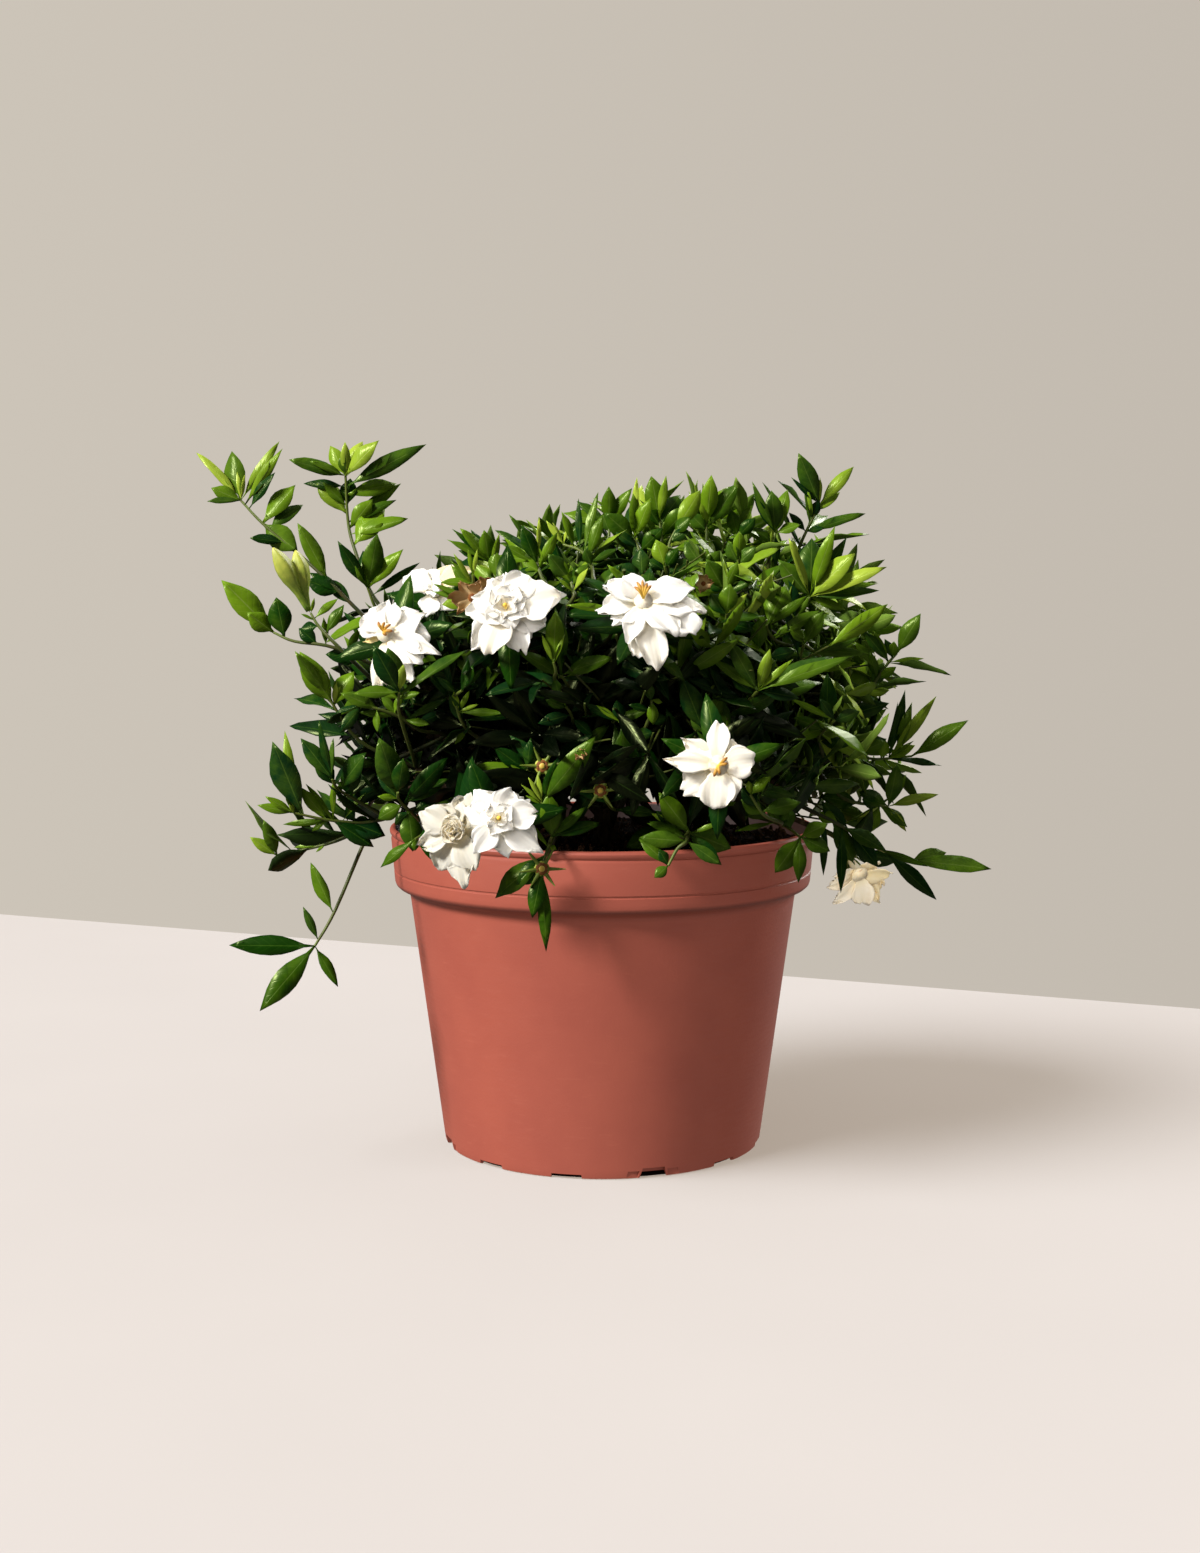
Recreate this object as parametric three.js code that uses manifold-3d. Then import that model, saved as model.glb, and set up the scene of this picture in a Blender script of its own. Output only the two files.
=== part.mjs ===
// A gardenia in its nursery pot, in millimetres, +Z up.
// The origin is on the pot's axis, on the ground under the middle pad of its floor. -Y is the front.
// Leaves and petals are thin lofted blades, fused by rule to the stem or flower tube they grow from.
import * as THREE from 'three';
import { mergeVertices } from 'three/addons/utils/BufferGeometryUtils.js';
import Module from 'manifold-3d';

const wasm = await Module();
wasm.setup();

// ---------------------------------------------------------------- driving dimensions
const GAP = 0.3; // clearance between pieces that touch

const POT_HEIGHT = 152.7;
const RIM_RADIUS = 102.2;
const FOOT_RADIUS = 76.6;
const WALL = 1.8;
const WALL_TOP_RADIUS = 92.3; // where the straight wall meets the lip
const WALL_TOP_Z = 118;
const WALL_FOOT_RADIUS = 77.1;
const WALL_FOOT_Z = 4.4;
const LIP_FOOT_RADIUS = 99.9; // lower edge of the lip
const LIP_FOOT_Z = 128;
const FLOOR_UNDER_Z = 2;
const FLOOR_TOP_Z = 4.5;
const PAD_RADIUS = 22; // flat pad under the middle of the floor
const POT_SIDES = 32;
const FOOT_GAPS = 12;
const TALL_GAP_EVERY = 3;
const TALL_GAP_ANGLE = 17.5; // degrees from the front towards +X
const TALL_GAP = { width: 12, height: 4.8 };
const THIN_GAP = { width: 14.8, height: 1.2 };
const DRAIN_HOLES = 6;
const DRAIN_HOLE_RADIUS = 4.5;
const DRAIN_HOLE_CIRCLE = 52;

const SOIL_TOP_Z = 144;
const SOIL_RELIEF = 1.6;
const TRUNK_RADIUS = 7;
const TRUNK_DEPTH = 24; // how far the trunk stands in the soil
const FORK_Z = 164;
const BOUGHS = 8;
const BOUGH_REACH = 46;
const BOUGH_END_Z = 184;
const TWIG_RADIUS = 1.5;
const TWIG_SPOTS = 6; // places on each bough where a twig may start
const TWIG_SPACING = 5;
const STEM_RADIUS = 1.5;
const STEM_TIP_RADIUS = 1;

const CROWN = new THREE.Vector3(4, 0, 196); // middle of the leafy crown
const CROWN_REACH = new THREE.Vector3(140, 132, 118);
const LEAF_THICKNESS = 1.2;
const LEAF_WIDTH_SHARE = 0.34; // width of a leaf as a share of its length
const PETAL_THICKNESS = 1.3;
const RULE_TRIES = 24; // sprays placed by rule, before those that lack room are left out
const FOOT_HALF = 1; // half the length of stem that a leaf grows from
const WHORL_STEP = 2.7; // least distance along a stem between two whorls of leaves
const RING_STEP = 30; // greatest distance between the rings of a bare stretch of stem
const ROOM = 30; // room that a spray placed by rule leaves to the shoots placed by hand

// Sprays placed by hand. A branch has its stem, from the wood to the tip, and its leaves as
// [how far back from the stem's tip, x of the leaf's tip, z of the leaf's tip].
const HAND_SPRAYS = {
  spray_far_left: [
    { stem: [[-96, -28, 238], [-127, -25, 269], [-142, -20, 282], [-159, -15, 296], [-170, -10, 307]],
      leaves: [[0, -194, 330], [0, -176, 330], [0, -167, 320], [0, -152, 334], [6, -149, 331],
        [10, -153, 321], [13, -183, 313], [18, -144, 314], [22, -142, 306], [36, -157, 297], [23, -165, 289]] },
  ],
  spray_high_left: [
    { stem: [[-88, -16, 238], [-108, -12, 262], [-117, -5, 283], [-121, 0, 297], [-122, 0, 319]],
      leaves: [[3, -130, 334], [0, -114, 337], [0, -106, 335], [2, -121, 329], [12, -122, 318], [4, -148, 326],
        [4, -138, 326], [4, -84, 334], [8, -103, 318], [21, -135, 317], [12, -134, 318], [26, -100, 315],
        [15, -96, 317], [33, -104, 304], [30, -91, 299]] },
    { stem: [[-98, -14, 250], [-105, -24, 256], [-109, -26, 266]],
      leaves: [[0, -143, 296], [0, -103, 292], [0, -92, 284], [2, -85, 279], [1, -127, 285]] },
  ],
  spray_mid_left: [
    { stem: [[-94, -44, 226], [-121, -50, 239], [-140, -48, 242], [-150, -45, 246]],
      leaves: [[0, -173, 271], [0, -160, 255], [9, -149, 262], [23, -138, 252]] },
  ],
  spray_budding: [
    { stem: [[-100, -62, 222], [-116, -70, 239], [-126, -67, 249], [-130, -65, 255]],
      leaves: [[12, -134, 232], [20, -118, 218]] },
  ],
  spray_low_left: [
    { stem: [[-84, -66, 186], [-108, -75, 199], [-121, -80, 219]],
      leaves: [[0, -132, 240], [7, -137, 232], [0, -118, 236], [3, -106, 231], [16, -98, 222]] },
  ],
  spray_rim_left: [
    { stem: [[-80, -54, 168], [-104, -60, 161], [-121, -65, 162], [-138, -70, 166]],
      leaves: [[1, -146, 198], [0, -153, 170], [1, -149, 178], [7, -135, 200], [0, -125, 206],
        [13, -130, 192], [40, -103, 197], [46, -74, 186]] },
    { stem: [[-104, -60, 161], [-122, -52, 151], [-149, -50, 144]],
      leaves: [[0, -154, 162], [0, -163, 154]] },
  ],
  spray_trailing: [
    { stem: [[-92, -34, 172], [-105, -40, 160], [-122, -55, 120], [-131, -60, 104]],
      leaves: [[17, -134, 141], [0, -170, 104], [0, -155, 76], [0, -120, 86], [3, -136, 122]] },
  ],
  spray_rim_front_left: [
    { stem: [[-58, -62, 160], [-76, -84, 159], [-82, -92, 157]],
      leaves: [[0, -96, 167], [0, -98, 143], [6, -104, 150]] },
  ],
  spray_right: [
    { stem: [[96, -14, 194], [121, -12, 212], [134, -10, 229], [140, -5, 235]],
      leaves: [[0, 150, 254], [5, 134, 246], [5, 155, 236], [20, 135, 236], [23, 136, 212],
        [23, 107, 226], [26, 100, 216]] },
  ],
  spray_right_mid: [
    { stem: [[92, -18, 180], [118, -15, 188], [129, -10, 185], [148, -5, 186]],
      leaves: [[1, 172, 204], [5, 160, 214], [15, 148, 196], [3, 163, 181], [10, 142, 212]] },
    { stem: [[100, -18, 182], [113, -28, 168], [134, -25, 164]],
      leaves: [[0, 139, 184], [0, 157, 171], [18, 123, 176]] },
  ],
  spray_right_low: [
    { stem: [[88, -46, 168], [109, -52, 158], [126, -44, 147], [143, -38, 140]],
      leaves: [[0, 180, 137], [0, 162, 144], [13, 157, 120], [19, 150, 136], [36, 130, 150], [32, 122, 134]] },
  ],
  spray_spire: [
    { stem: [[72, 0, 250], [91, 5, 279], [96, 5, 290], [104, 8, 306]],
      leaves: [[0, 93, 331], [0, 120, 324], [2, 115, 314], [0, 103, 321], [5, 96, 314], [12, 127, 302]] },
    { stem: [[80, 2, 262], [79, -3, 279], [82, -2, 292]],
      leaves: [[0, 89, 314], [0, 68, 316], [2, 66, 306], [0, 78, 312]] },
  ],
  spray_upper_right: [
    { stem: [[70, -32, 228], [86, -40, 249], [95, -38, 262]],
      leaves: [[0, 114, 282], [0, 129, 276], [0, 97, 289], [0, 80, 279], [0, 127, 264], [8, 76, 268]] },
  ],
  spray_front_right: [
    { stem: [[48, -64, 206], [60, -84, 214], [67, -94, 222]],
      leaves: [[0, 54, 244], [0, 44, 236], [0, 71, 240], [0, 81, 235], [0, 100, 237], [2, 92, 216]] },
  ],
  spray_below_centre: [
    { stem: [[28, -58, 210], [42, -80, 214], [48, -90, 224]], leaves: [[0, 35, 242], [3, 56, 206]] },
    { stem: [[34, -68, 212], [41, -86, 204]], leaves: [[0, 33, 229], [0, 52, 190], [0, 28, 192]] },
  ],
  spray_front_centre: [
    { stem: [[-2, -56, 204], [-8, -82, 213], [-18, -98, 229]],
      leaves: [[0, -20, 258], [0, 4, 237], [2, -36, 240]] },
    { stem: [[-4, -64, 207], [5, -88, 208]], leaves: [[0, 9, 182], [0, 20, 214], [3, -10, 196]] },
  ],
  spray_spent_left: [
    { stem: [[-20, -58, 172], [-22, -90, 184], [-26, -103, 190]],
      leaves: [[12, -52, 190], [8, -40, 203], [8, -4, 204], [14, -6, 188]], calyx: true },
  ],
  spray_spent_centre: [
    { stem: [[10, -56, 166], [4, -86, 170], [-1, -98, 179]],
      leaves: [[10, -16, 182], [10, 14, 180], [20, 24, 168]], calyx: true },
  ],
  spray_rim_spill: [
    { stem: [[-14, -66, 158], [-20, -94, 160], [-24, -109, 154], [-26, -113, 147]],
      leaves: [[4, -23, 112], [8, -47, 136], [5, -31, 124], [18, -22, 180]], calyx: true },
  ],
  spray_rim_right: [
    { stem: [[30, -66, 160], [37, -92, 161], [36, -106, 158]],
      leaves: [[4, 23, 181], [0, 21, 141], [0, 7, 154], [8, 57, 176], [2, 52, 152]] },
  ],
  spray_rim_far_right: [
    { stem: [[64, -52, 164], [80, -72, 161], [87, -84, 157]],
      leaves: [[0, 75, 141], [0, 88, 137], [8, 70, 178], [4, 98, 166]] },
  ],
};

// Blooms. A petal is [heading of its tip seen from the front in degrees, its reach, its width].
// An inner petal stands up round the heart of the flower, out to the given radius.
const BLOOMS = {
  bloom_upper_left: { at: [-94, -92, 247], faces: [-0.4, -0.88, 0.2], heart: 5, inner: 4,
    petals: [[102, 15, 14], [153, 14, 12], [61, 15, 9], [15, 18, 14], [-10, 20, 12], [-50, 22, 12],
      [-97, 24, 10], [-22, 26, 9], [-65, 27, 9]] },
  bloom_upper_mid: { at: [-37, -112, 256], faces: [0, -0.95, 0.25], heart: 7, inner: 6,
    petals: [[6, 25, 16], [49, 19, 13], [88, 17, 12], [120, 15, 12], [170, 15, 12], [196, 18, 11],
      [226, 24, 12], [255, 23, 12], [-72, 21, 11]] },
  bloom_upper_right: { at: [17, -107, 261], faces: [0.05, -0.8, 0.6], heart: 4, inner: 0,
    petals: [[185, 19, 12], [153, 19, 11], [115, 11, 14], [80, 10, 14], [49, 17, 12], [12, 24, 12],
      [-6, 27, 10], [-31, 26, 16], [-83, 28, 11], [-100, 25, 9], [212, 16, 11]] },
  bloom_lower_right: { at: [48, -131, 193], faces: [-0.1, -0.97, 0.1], heart: 5, inner: 4,
    petals: [[92, 20, 11], [145, 20, 9], [176, 23, 11], [218, 21, 12], [-90, 20, 13], [-66, 15, 10],
      [10, 15, 12], [-45, 12, 10], [60, 12, 10]] },
  bloom_rim: { at: [-44, -126, 170], faces: [0.15, -0.95, 0.2], heart: 6, inner: 5,
    petals: [[70, 15, 12], [7, 18, 11], [-40, 22, 12], [-84, 17, 12], [-116, 16, 10], [130, 16, 11],
      [161, 15, 9]] },
  bloom_rim_shaded: { at: [-62, -118, 164], faces: [-0.45, -0.87, 0.1], heart: 7, inner: 6,
    petals: [[172, 16, 11], [140, 15, 10], [213, 21, 9], [238, 17, 12], [-86, 25, 10], [-70, 20, 8],
      [105, 15, 10]] },
  bloom_behind: { at: [-76, -58, 266], faces: [-0.2, -0.7, 0.65], heart: 4, inner: 2,
    petals: [[135, 13, 11], [41, 20, 10], [75, 14, 10], [-51, 15, 10], [185, 13, 10], [-110, 12, 10]] },
  bloom_hanging: { at: [119, -42, 134], faces: [0.25, -0.35, -0.9], heart: 3, inner: 0,
    petals: [[237, 17, 8], [195, 11, 8], [-84, 14, 8], [6, 12, 8], [-48, 19, 9]] },
};
const BLOOM_TUBE = 13; // length of the tube behind the petals
const BUD_BASE = [-131, -64.5, 256];
const BUD_TIPS = [[-146, -68, 284], [-137, -61, 283]];

// ---------------------------------------------------------------- materials
const material = (color, roughness) => new THREE.MeshStandardMaterial({ color, roughness, metalness: 0 });
const POT_PLASTIC = material('#a85646', 0.55);
const POTTING_SOIL = material('#3a2a1e', 0.95);
const BARK = material('#6b5138', 0.85);
const LEAF = material('#2f5a1c', 0.4);
const PETAL = material('#f6f1e6', 0.6);
const BUD = material('#a9b84a', 0.5);

// ---------------------------------------------------------------- small helpers
const point = (list) => new THREE.Vector3(...list);
const along = (from, direction, distance) => from.clone().addScaledVector(direction, distance);
const radians = THREE.MathUtils.degToRad;

// A seeded draw between two numbers.
function drawer(seed) {
  let state = (seed * 7919 + 104729) >>> 0;
  const next = () => {
    state = (Math.imul(state, 1664525) + 1013904223) >>> 0;
    return state / 4294967296;
  };
  next();
  return (low, high) => low + (high - low) * next();
}

function solidFrom(geometry) {
  const bare = geometry.clone();
  bare.deleteAttribute('normal');
  bare.deleteAttribute('uv');
  const merged = mergeVertices(bare, 1e-4);
  return new wasm.Manifold(new wasm.Mesh({
    numProp: 3,
    vertProperties: new Float32Array(merged.attributes.position.array),
    triVerts: new Uint32Array(merged.index.array),
  }));
}

function geometryFrom(solid) {
  const mesh = solid.getMesh();
  const geometry = new THREE.BufferGeometry();
  geometry.setAttribute('position', new THREE.BufferAttribute(new Float32Array(mesh.vertProperties), 3));
  geometry.setIndex(new THREE.BufferAttribute(new Uint32Array(mesh.triVerts), 1));
  geometry.computeVertexNormals();
  return geometry;
}

// Fuses solids into one body: tiny edges go, sealed hollows are filled and loose scraps are dropped.
function fuse(solids) {
  const bodies = wasm.Manifold.union(solids).simplify(0.05).decompose();
  return bodies.reduce((biggest, body) => (body.volume() > biggest.volume() ? body : biggest));
}

// A closed skin over rings of points, each counter-clockwise as seen from the far end. Either end may
// run out to a point.
function loft(rings, tip = null, firstTip = null) {
  const count = rings[0].length;
  const vertices = rings.flat();
  const triangles = [];
  for (let ring = 0; ring + 1 < rings.length; ring += 1) {
    for (let side = 0; side < count; side += 1) {
      const near = ring * count + side;
      const nearNext = ring * count + (side + 1) % count;
      const far = near + count;
      const farNext = nearNext + count;
      triangles.push(near, nearNext, farNext, near, farNext, far);
    }
  }
  const last = (rings.length - 1) * count;
  for (let side = 1; side + 1 < count; side += 1) {
    if (!firstTip) triangles.push(0, side + 1, side);
    if (!tip) triangles.push(last, last + side, last + side + 1);
  }
  if (tip) {
    vertices.push(tip);
    for (let side = 0; side < count; side += 1) {
      triangles.push(last + side, last + (side + 1) % count, vertices.length - 1);
    }
  }
  if (firstTip) {
    vertices.push(firstTip);
    for (let side = 0; side < count; side += 1) {
      triangles.push((side + 1) % count, side, vertices.length - 1);
    }
  }
  const geometry = new THREE.BufferGeometry().setFromPoints(vertices);
  geometry.setIndex(triangles);
  return geometry;
}

// A tapering stem through a few points. Its last ring can be made to face a given way.
function stem(points, firstRadius, lastRadius, sides = 3, endsFacing = null) {
  const reach = points.length - 1;
  let across = new THREE.Vector3(0.31, 0.17, 0.93);
  const rings = points.map((centre, index) => {
    const before = points[Math.max(index - 1, 0)];
    const after = points[Math.min(index + 1, reach)];
    const endFacing = index === reach && endsFacing;
    const direction = endFacing || after.clone().sub(before).normalize();
    across = across.clone().addScaledVector(direction, -across.dot(direction)).normalize();
    const over = direction.clone().cross(across);
    const radius = firstRadius + (lastRadius - firstRadius) * index / reach;
    return Array.from({ length: sides }, (_, side) => {
      const angle = 2 * Math.PI * side / sides;
      return along(along(centre, across, radius * Math.cos(angle)), over, radius * Math.sin(angle));
    });
  });
  return solidFrom(loft(rings));
}

// A blade from its foot to its tip: a thin section with a keel under its midrib, arched along its length.
// Each station is [how far along, half the width there as a share of half the greatest width].
const PETAL_STATIONS = [[0, 0.16], [0.55, 1], [1, 0.45]];

// Where a blade's section lies at a station, and the ways across it and out of its upper face.
function bladeSection({ foot, tip, upward, width }, [share, halfWidth], arch) {
  const axis = tip.clone().sub(foot);
  const direction = axis.clone().normalize();
  const normal = upward.clone().addScaledVector(direction, -upward.dot(direction)).normalize();
  const left = normal.clone().cross(direction);
  const lift = 4 * arch * axis.length() * share * (1 - share);
  return { centre: along(along(foot, axis, share), normal, lift), left, normal, reach: halfWidth * width / 2 };
}

function petalBlade(foot, tip, upward, width, arch) {
  const rings = PETAL_STATIONS.map((station) => {
    const { centre, left, normal, reach } = bladeSection({ foot, tip, upward, width }, station, arch);
    const keel = along(centre, normal, -PETAL_THICKNESS * (1 - 0.45 * station[0]));
    return [along(centre, left, reach), along(centre, left, -reach), keel];
  });
  return solidFrom(loft(rings));
}

// The point on a line of points that lies the given distance back from its end.
function pointBack(points, distance) {
  let left = distance;
  for (let index = points.length - 1; index > 0; index -= 1) {
    const span = points[index].distanceTo(points[index - 1]);
    if (left <= span) return points[index].clone().lerp(points[index - 1], left / span);
    left -= span;
  }
  return points[0].clone();
}

// ---------------------------------------------------------------- the finished pieces
const plant = new THREE.Group();
const finished = [];

function addPiece(name, solid, look) {
  const mesh = new THREE.Mesh(geometryFrom(solid), look);
  mesh.name = name;
  plant.add(mesh);
  finished.push({ solid, box: solid.boundingBox() });
}

function boxesMeet(one, other) {
  return [0, 1, 2].every((axis) => one.min[axis] - GAP < other.max[axis]
    && other.min[axis] - GAP < one.max[axis]);
}

function isClear(solid) {
  const box = solid.boundingBox();
  return finished.every((piece) => !boxesMeet(box, piece.box) || solid.minGap(piece.solid, 2 * GAP) > GAP);
}

// ---------------------------------------------------------------- pot and soil
// A turned solid about Z from [radius, z] pairs that start and end on the axis.
function turned(profile) {
  const outline = profile.map(([radius, z]) => new THREE.Vector2(radius, z));
  return new THREE.LatheGeometry(outline, POT_SIDES).rotateX(Math.PI / 2);
}

const wallRadius = (z) => WALL_FOOT_RADIUS
  + (WALL_TOP_RADIUS - WALL_FOOT_RADIUS) * (z - WALL_FOOT_Z) / (WALL_TOP_Z - WALL_FOOT_Z);

// The outside of the pot from its foot to its rim, [radius, z].
const POT_OUTSIDE = [
  [FOOT_RADIUS, 0], [WALL_FOOT_RADIUS, WALL_FOOT_Z], [WALL_TOP_RADIUS, WALL_TOP_Z],
  [94.3, 122.3], [98.9, 126], [LIP_FOOT_RADIUS, LIP_FOOT_Z], [101.6, 148], [RIM_RADIUS, 150.5],
  [RIM_RADIUS, POT_HEIGHT],
];
// The inside from the rim down to the floor.
const POT_INSIDE = [
  [RIM_RADIUS - 2.6, POT_HEIGHT], [LIP_FOOT_RADIUS - WALL, LIP_FOOT_Z + 1],
  [WALL_TOP_RADIUS - WALL + 0.6, WALL_TOP_Z + 4], [wallRadius(FLOOR_TOP_Z) - WALL, FLOOR_TOP_Z],
];

function makePot() {
  const footInside = FOOT_RADIUS - 2.2;
  let pot = solidFrom(turned([
    [0, 0], [PAD_RADIUS, 0], [PAD_RADIUS, FLOOR_UNDER_Z], [footInside, FLOOR_UNDER_Z], [footInside, 0],
    ...POT_OUTSIDE, ...POT_INSIDE, [0, FLOOR_TOP_Z],
  ]));
  for (let index = 0; index < FOOT_GAPS; index += 1) {
    const { width, height } = index % TALL_GAP_EVERY === 0 ? TALL_GAP : THIN_GAP;
    const cutter = new THREE.BoxGeometry(width, 8, height + 2);
    cutter.translate(0, -FOOT_RADIUS, height / 2 - 1);
    cutter.rotateZ(radians(TALL_GAP_ANGLE + 360 * index / FOOT_GAPS));
    pot = pot.subtract(solidFrom(cutter));
  }
  for (let index = 0; index < DRAIN_HOLES; index += 1) {
    const cutter = new THREE.CylinderGeometry(DRAIN_HOLE_RADIUS, DRAIN_HOLE_RADIUS, 4 * FLOOR_TOP_Z, 6);
    cutter.rotateX(Math.PI / 2);
    cutter.translate(DRAIN_HOLE_CIRCLE, 0, 0);
    cutter.rotateZ(2 * Math.PI * (index + 0.5) / DRAIN_HOLES);
    pot = pot.subtract(solidFrom(cutter));
  }
  return fuse([pot]);
}

// Potting soil that fills the pot to below its rim, with a plain hole for the trunk.
function makeSoil() {
  const play = GAP / Math.cos(Math.PI / POT_SIDES);
  const [, lip, bend, floor] = POT_INSIDE;
  const topRadius = lip[0] - play + 0.7;
  const geometry = turned([
    [0, floor[1] + GAP], [floor[0] - play, floor[1] + GAP], [bend[0] - play, bend[1]],
    [lip[0] - play, lip[1]], [topRadius, SOIL_TOP_Z], [48, SOIL_TOP_Z], [0, SOIL_TOP_Z],
  ]);
  const places = geometry.attributes.position;
  for (let index = 0; index < places.count; index += 1) {
    const x = places.getX(index);
    const y = places.getY(index);
    const inside = Math.hypot(x, y) < 80 && places.getZ(index) > SOIL_TOP_Z - 1;
    if (inside) places.setZ(index, SOIL_TOP_Z + SOIL_RELIEF * Math.sin(0.09 * x + 1) * Math.cos(0.11 * y));
  }
  const hole = new THREE.CylinderGeometry(TRUNK_RADIUS + 1, TRUNK_RADIUS + 1, 60, 12);
  hole.rotateX(Math.PI / 2);
  hole.translate(0, 0, SOIL_TOP_Z - TRUNK_DEPTH - GAP + 30);
  return fuse([solidFrom(geometry).subtract(solidFrom(hole))]);
}

// ---------------------------------------------------------------- blooms and buds
// The way from a flower's heart to the tip of a petal that reaches that far as seen from the front.
function petalReach(heading, reach, faces) {
  const across = Math.cos(radians(heading));
  const up = Math.sin(radians(heading));
  const lean = -(faces.x * across + faces.z * up) / Math.min(faces.y, -0.3);
  return new THREE.Vector3(across, THREE.MathUtils.clamp(lean, -0.35, 0.5), up).multiplyScalar(reach);
}

function makeBloom({ at, faces, heart, inner, petals }, seed) {
  const draw = drawer(seed);
  const centre = point(at);
  const facing = point(faces).normalize();
  const parts = [stem([along(centre, facing, -BLOOM_TUBE), along(centre, facing, 0.5)], 1.6, 4.4, 6)];
  petals.forEach(([heading, reach, width], index) => {
    const layer = index % 2 ? -2.4 : 0;
    const way = petalReach(heading, reach, facing);
    const foot = along(along(centre, facing, layer - 0.6), way.clone().normalize(), 2.4);
    const tip = along(centre.clone().add(way), facing, layer + draw(-0.6, 1.4));
    parts.push(petalBlade(foot, tip, facing, width, draw(0.03, 0.06)));
  });
  const side = facing.clone().cross(new THREE.Vector3(0, 0, 1)).normalize();
  for (let index = 0; index < inner; index += 1) {
    const turn = side.clone().applyAxisAngle(facing, 2 * Math.PI * (index + draw(0, 0.3)) / inner);
    const tip = along(along(centre, turn, heart), facing, draw(5, 7.5));
    parts.push(petalBlade(along(centre, facing, -0.5), tip, turn.clone().negate(), 1.3 * heart, -0.12));
  }
  return fuse(parts);
}

// A pointed bud, widest in its upper half, on a thin tube.
function makeBuds() {
  const base = point(BUD_BASE);
  const shares = [[0, 1.2], [0.28, 1.7], [0.5, 3.6], [0.72, 3.9], [0.9, 2.1]];
  const buds = BUD_TIPS.map((tip) => {
    const axis = point(tip).sub(base);
    const direction = axis.clone().normalize();
    const across = new THREE.Vector3(0, 1, 0).cross(direction).normalize();
    const over = direction.clone().cross(across);
    const rings = shares.map(([share, radius]) => Array.from({ length: 6 }, (_, side) => {
      const angle = Math.PI * side / 3;
      const centre = along(base, axis, share);
      return along(along(centre, across, radius * Math.cos(angle)), over, radius * Math.sin(angle));
    }));
    return solidFrom(loft(rings, point(tip)));
  });
  return fuse(buds);
}

// ---------------------------------------------------------------- the sprays
// A leafy stem is one skin. Its rings have four corners, and a leaf's own skin takes the place of the
// four-cornered face of the stem that it grows from.
const LEAF_STATIONS = [[0.46, 1]];
const LEAF_ARCH = 0.06;
const SWINGS = [0, 10, -10, 20, -20, 32, -32, 45, -45];
const SHARED_MOST = 0.3; // cubic millimetres that a leaf may share with another branch of its spray
const LEAST_FACING = 0.15; // how far a face must look the leaf's way to carry it

const halves = ([a, b, c, d]) => [[a, b, c], [a, c, d]];
const middle = (corners) => corners.reduce((sum, corner) => sum.add(corner), new THREE.Vector3())
  .multiplyScalar(1 / corners.length);
const facingOf = ([a, b, c, d]) => c.clone().sub(a).cross(d.clone().sub(b)).normalize();
const solidOfFaces = (faces) => solidFrom(new THREE.BufferGeometry().setFromPoints(faces.flat()));

// The four-cornered faces between two rings.
const faceRow = (near, far) => near.map((corner, side) => {
  const next = (side + 1) % near.length;
  return [corner, near[next], far[next], far[side]];
});

// The skin of a leaf from the face that carries it to its tip.
function leafSkin(leaf, grip) {
  const rings = LEAF_STATIONS.map((station) => {
    const { centre, left, normal, reach } = bladeSection(leaf, station, LEAF_ARCH);
    const keel = along(centre, normal, -LEAF_THICKNESS * (1 - 0.45 * station[0]));
    return [along(centre, left, reach), along(centre, normal, 0.2), along(centre, left, -reach), keel];
  });
  const shifted = (ring, shift) => ring.map((_, index) => ring[(index + shift) % 4]);
  const twist = (shift) => shifted(rings[0], shift)
    .reduce((sum, corner, index) => sum + corner.distanceTo(grip[index]), 0);
  const shift = [0, 1, 2, 3].reduce((best, tried) => (twist(tried) < twist(best) ? tried : best));
  const rows = [grip, ...rings.map((ring) => shifted(ring, shift))];
  const faces = rows.slice(1).flatMap((far, index) => faceRow(rows[index], far).flatMap(halves));
  const last = rows.at(-1);
  last.forEach((corner, side) => faces.push([corner, last[(side + 1) % 4], leaf.tip]));
  return faces;
}

// A leaf on a face of its stem, clear of the finished pieces, its own stem and the leaves there. It
// swings to and fro until it is, or is left out.
function clearLeaf(leaf, grip, own, others) {
  const foot = middle(grip);
  const axis = leaf.tip.clone().sub(foot);
  const hinge = leaf.upward.clone().cross(axis).normalize();
  const sharedWith = (solid, list) => list.reduce((sum, other) => sum + solid.intersect(other).volume(), 0);
  for (const swing of SWINGS) {
    const tip = foot.clone().add(axis.clone().applyAxisAngle(hinge, radians(swing)));
    const upward = leaf.upward.clone().applyAxisAngle(hinge, radians(swing));
    const faces = leafSkin({ ...leaf, foot, tip, upward }, grip);
    const solid = solidOfFaces([...faces, ...halves(grip).map(([a, b, c]) => [a, c, b])]);
    if (isClear(solid) && sharedWith(solid, own) < 0.003 && sharedWith(solid, others) < SHARED_MOST) {
      return { faces, solid };
    }
  }
  return null;
}

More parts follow.
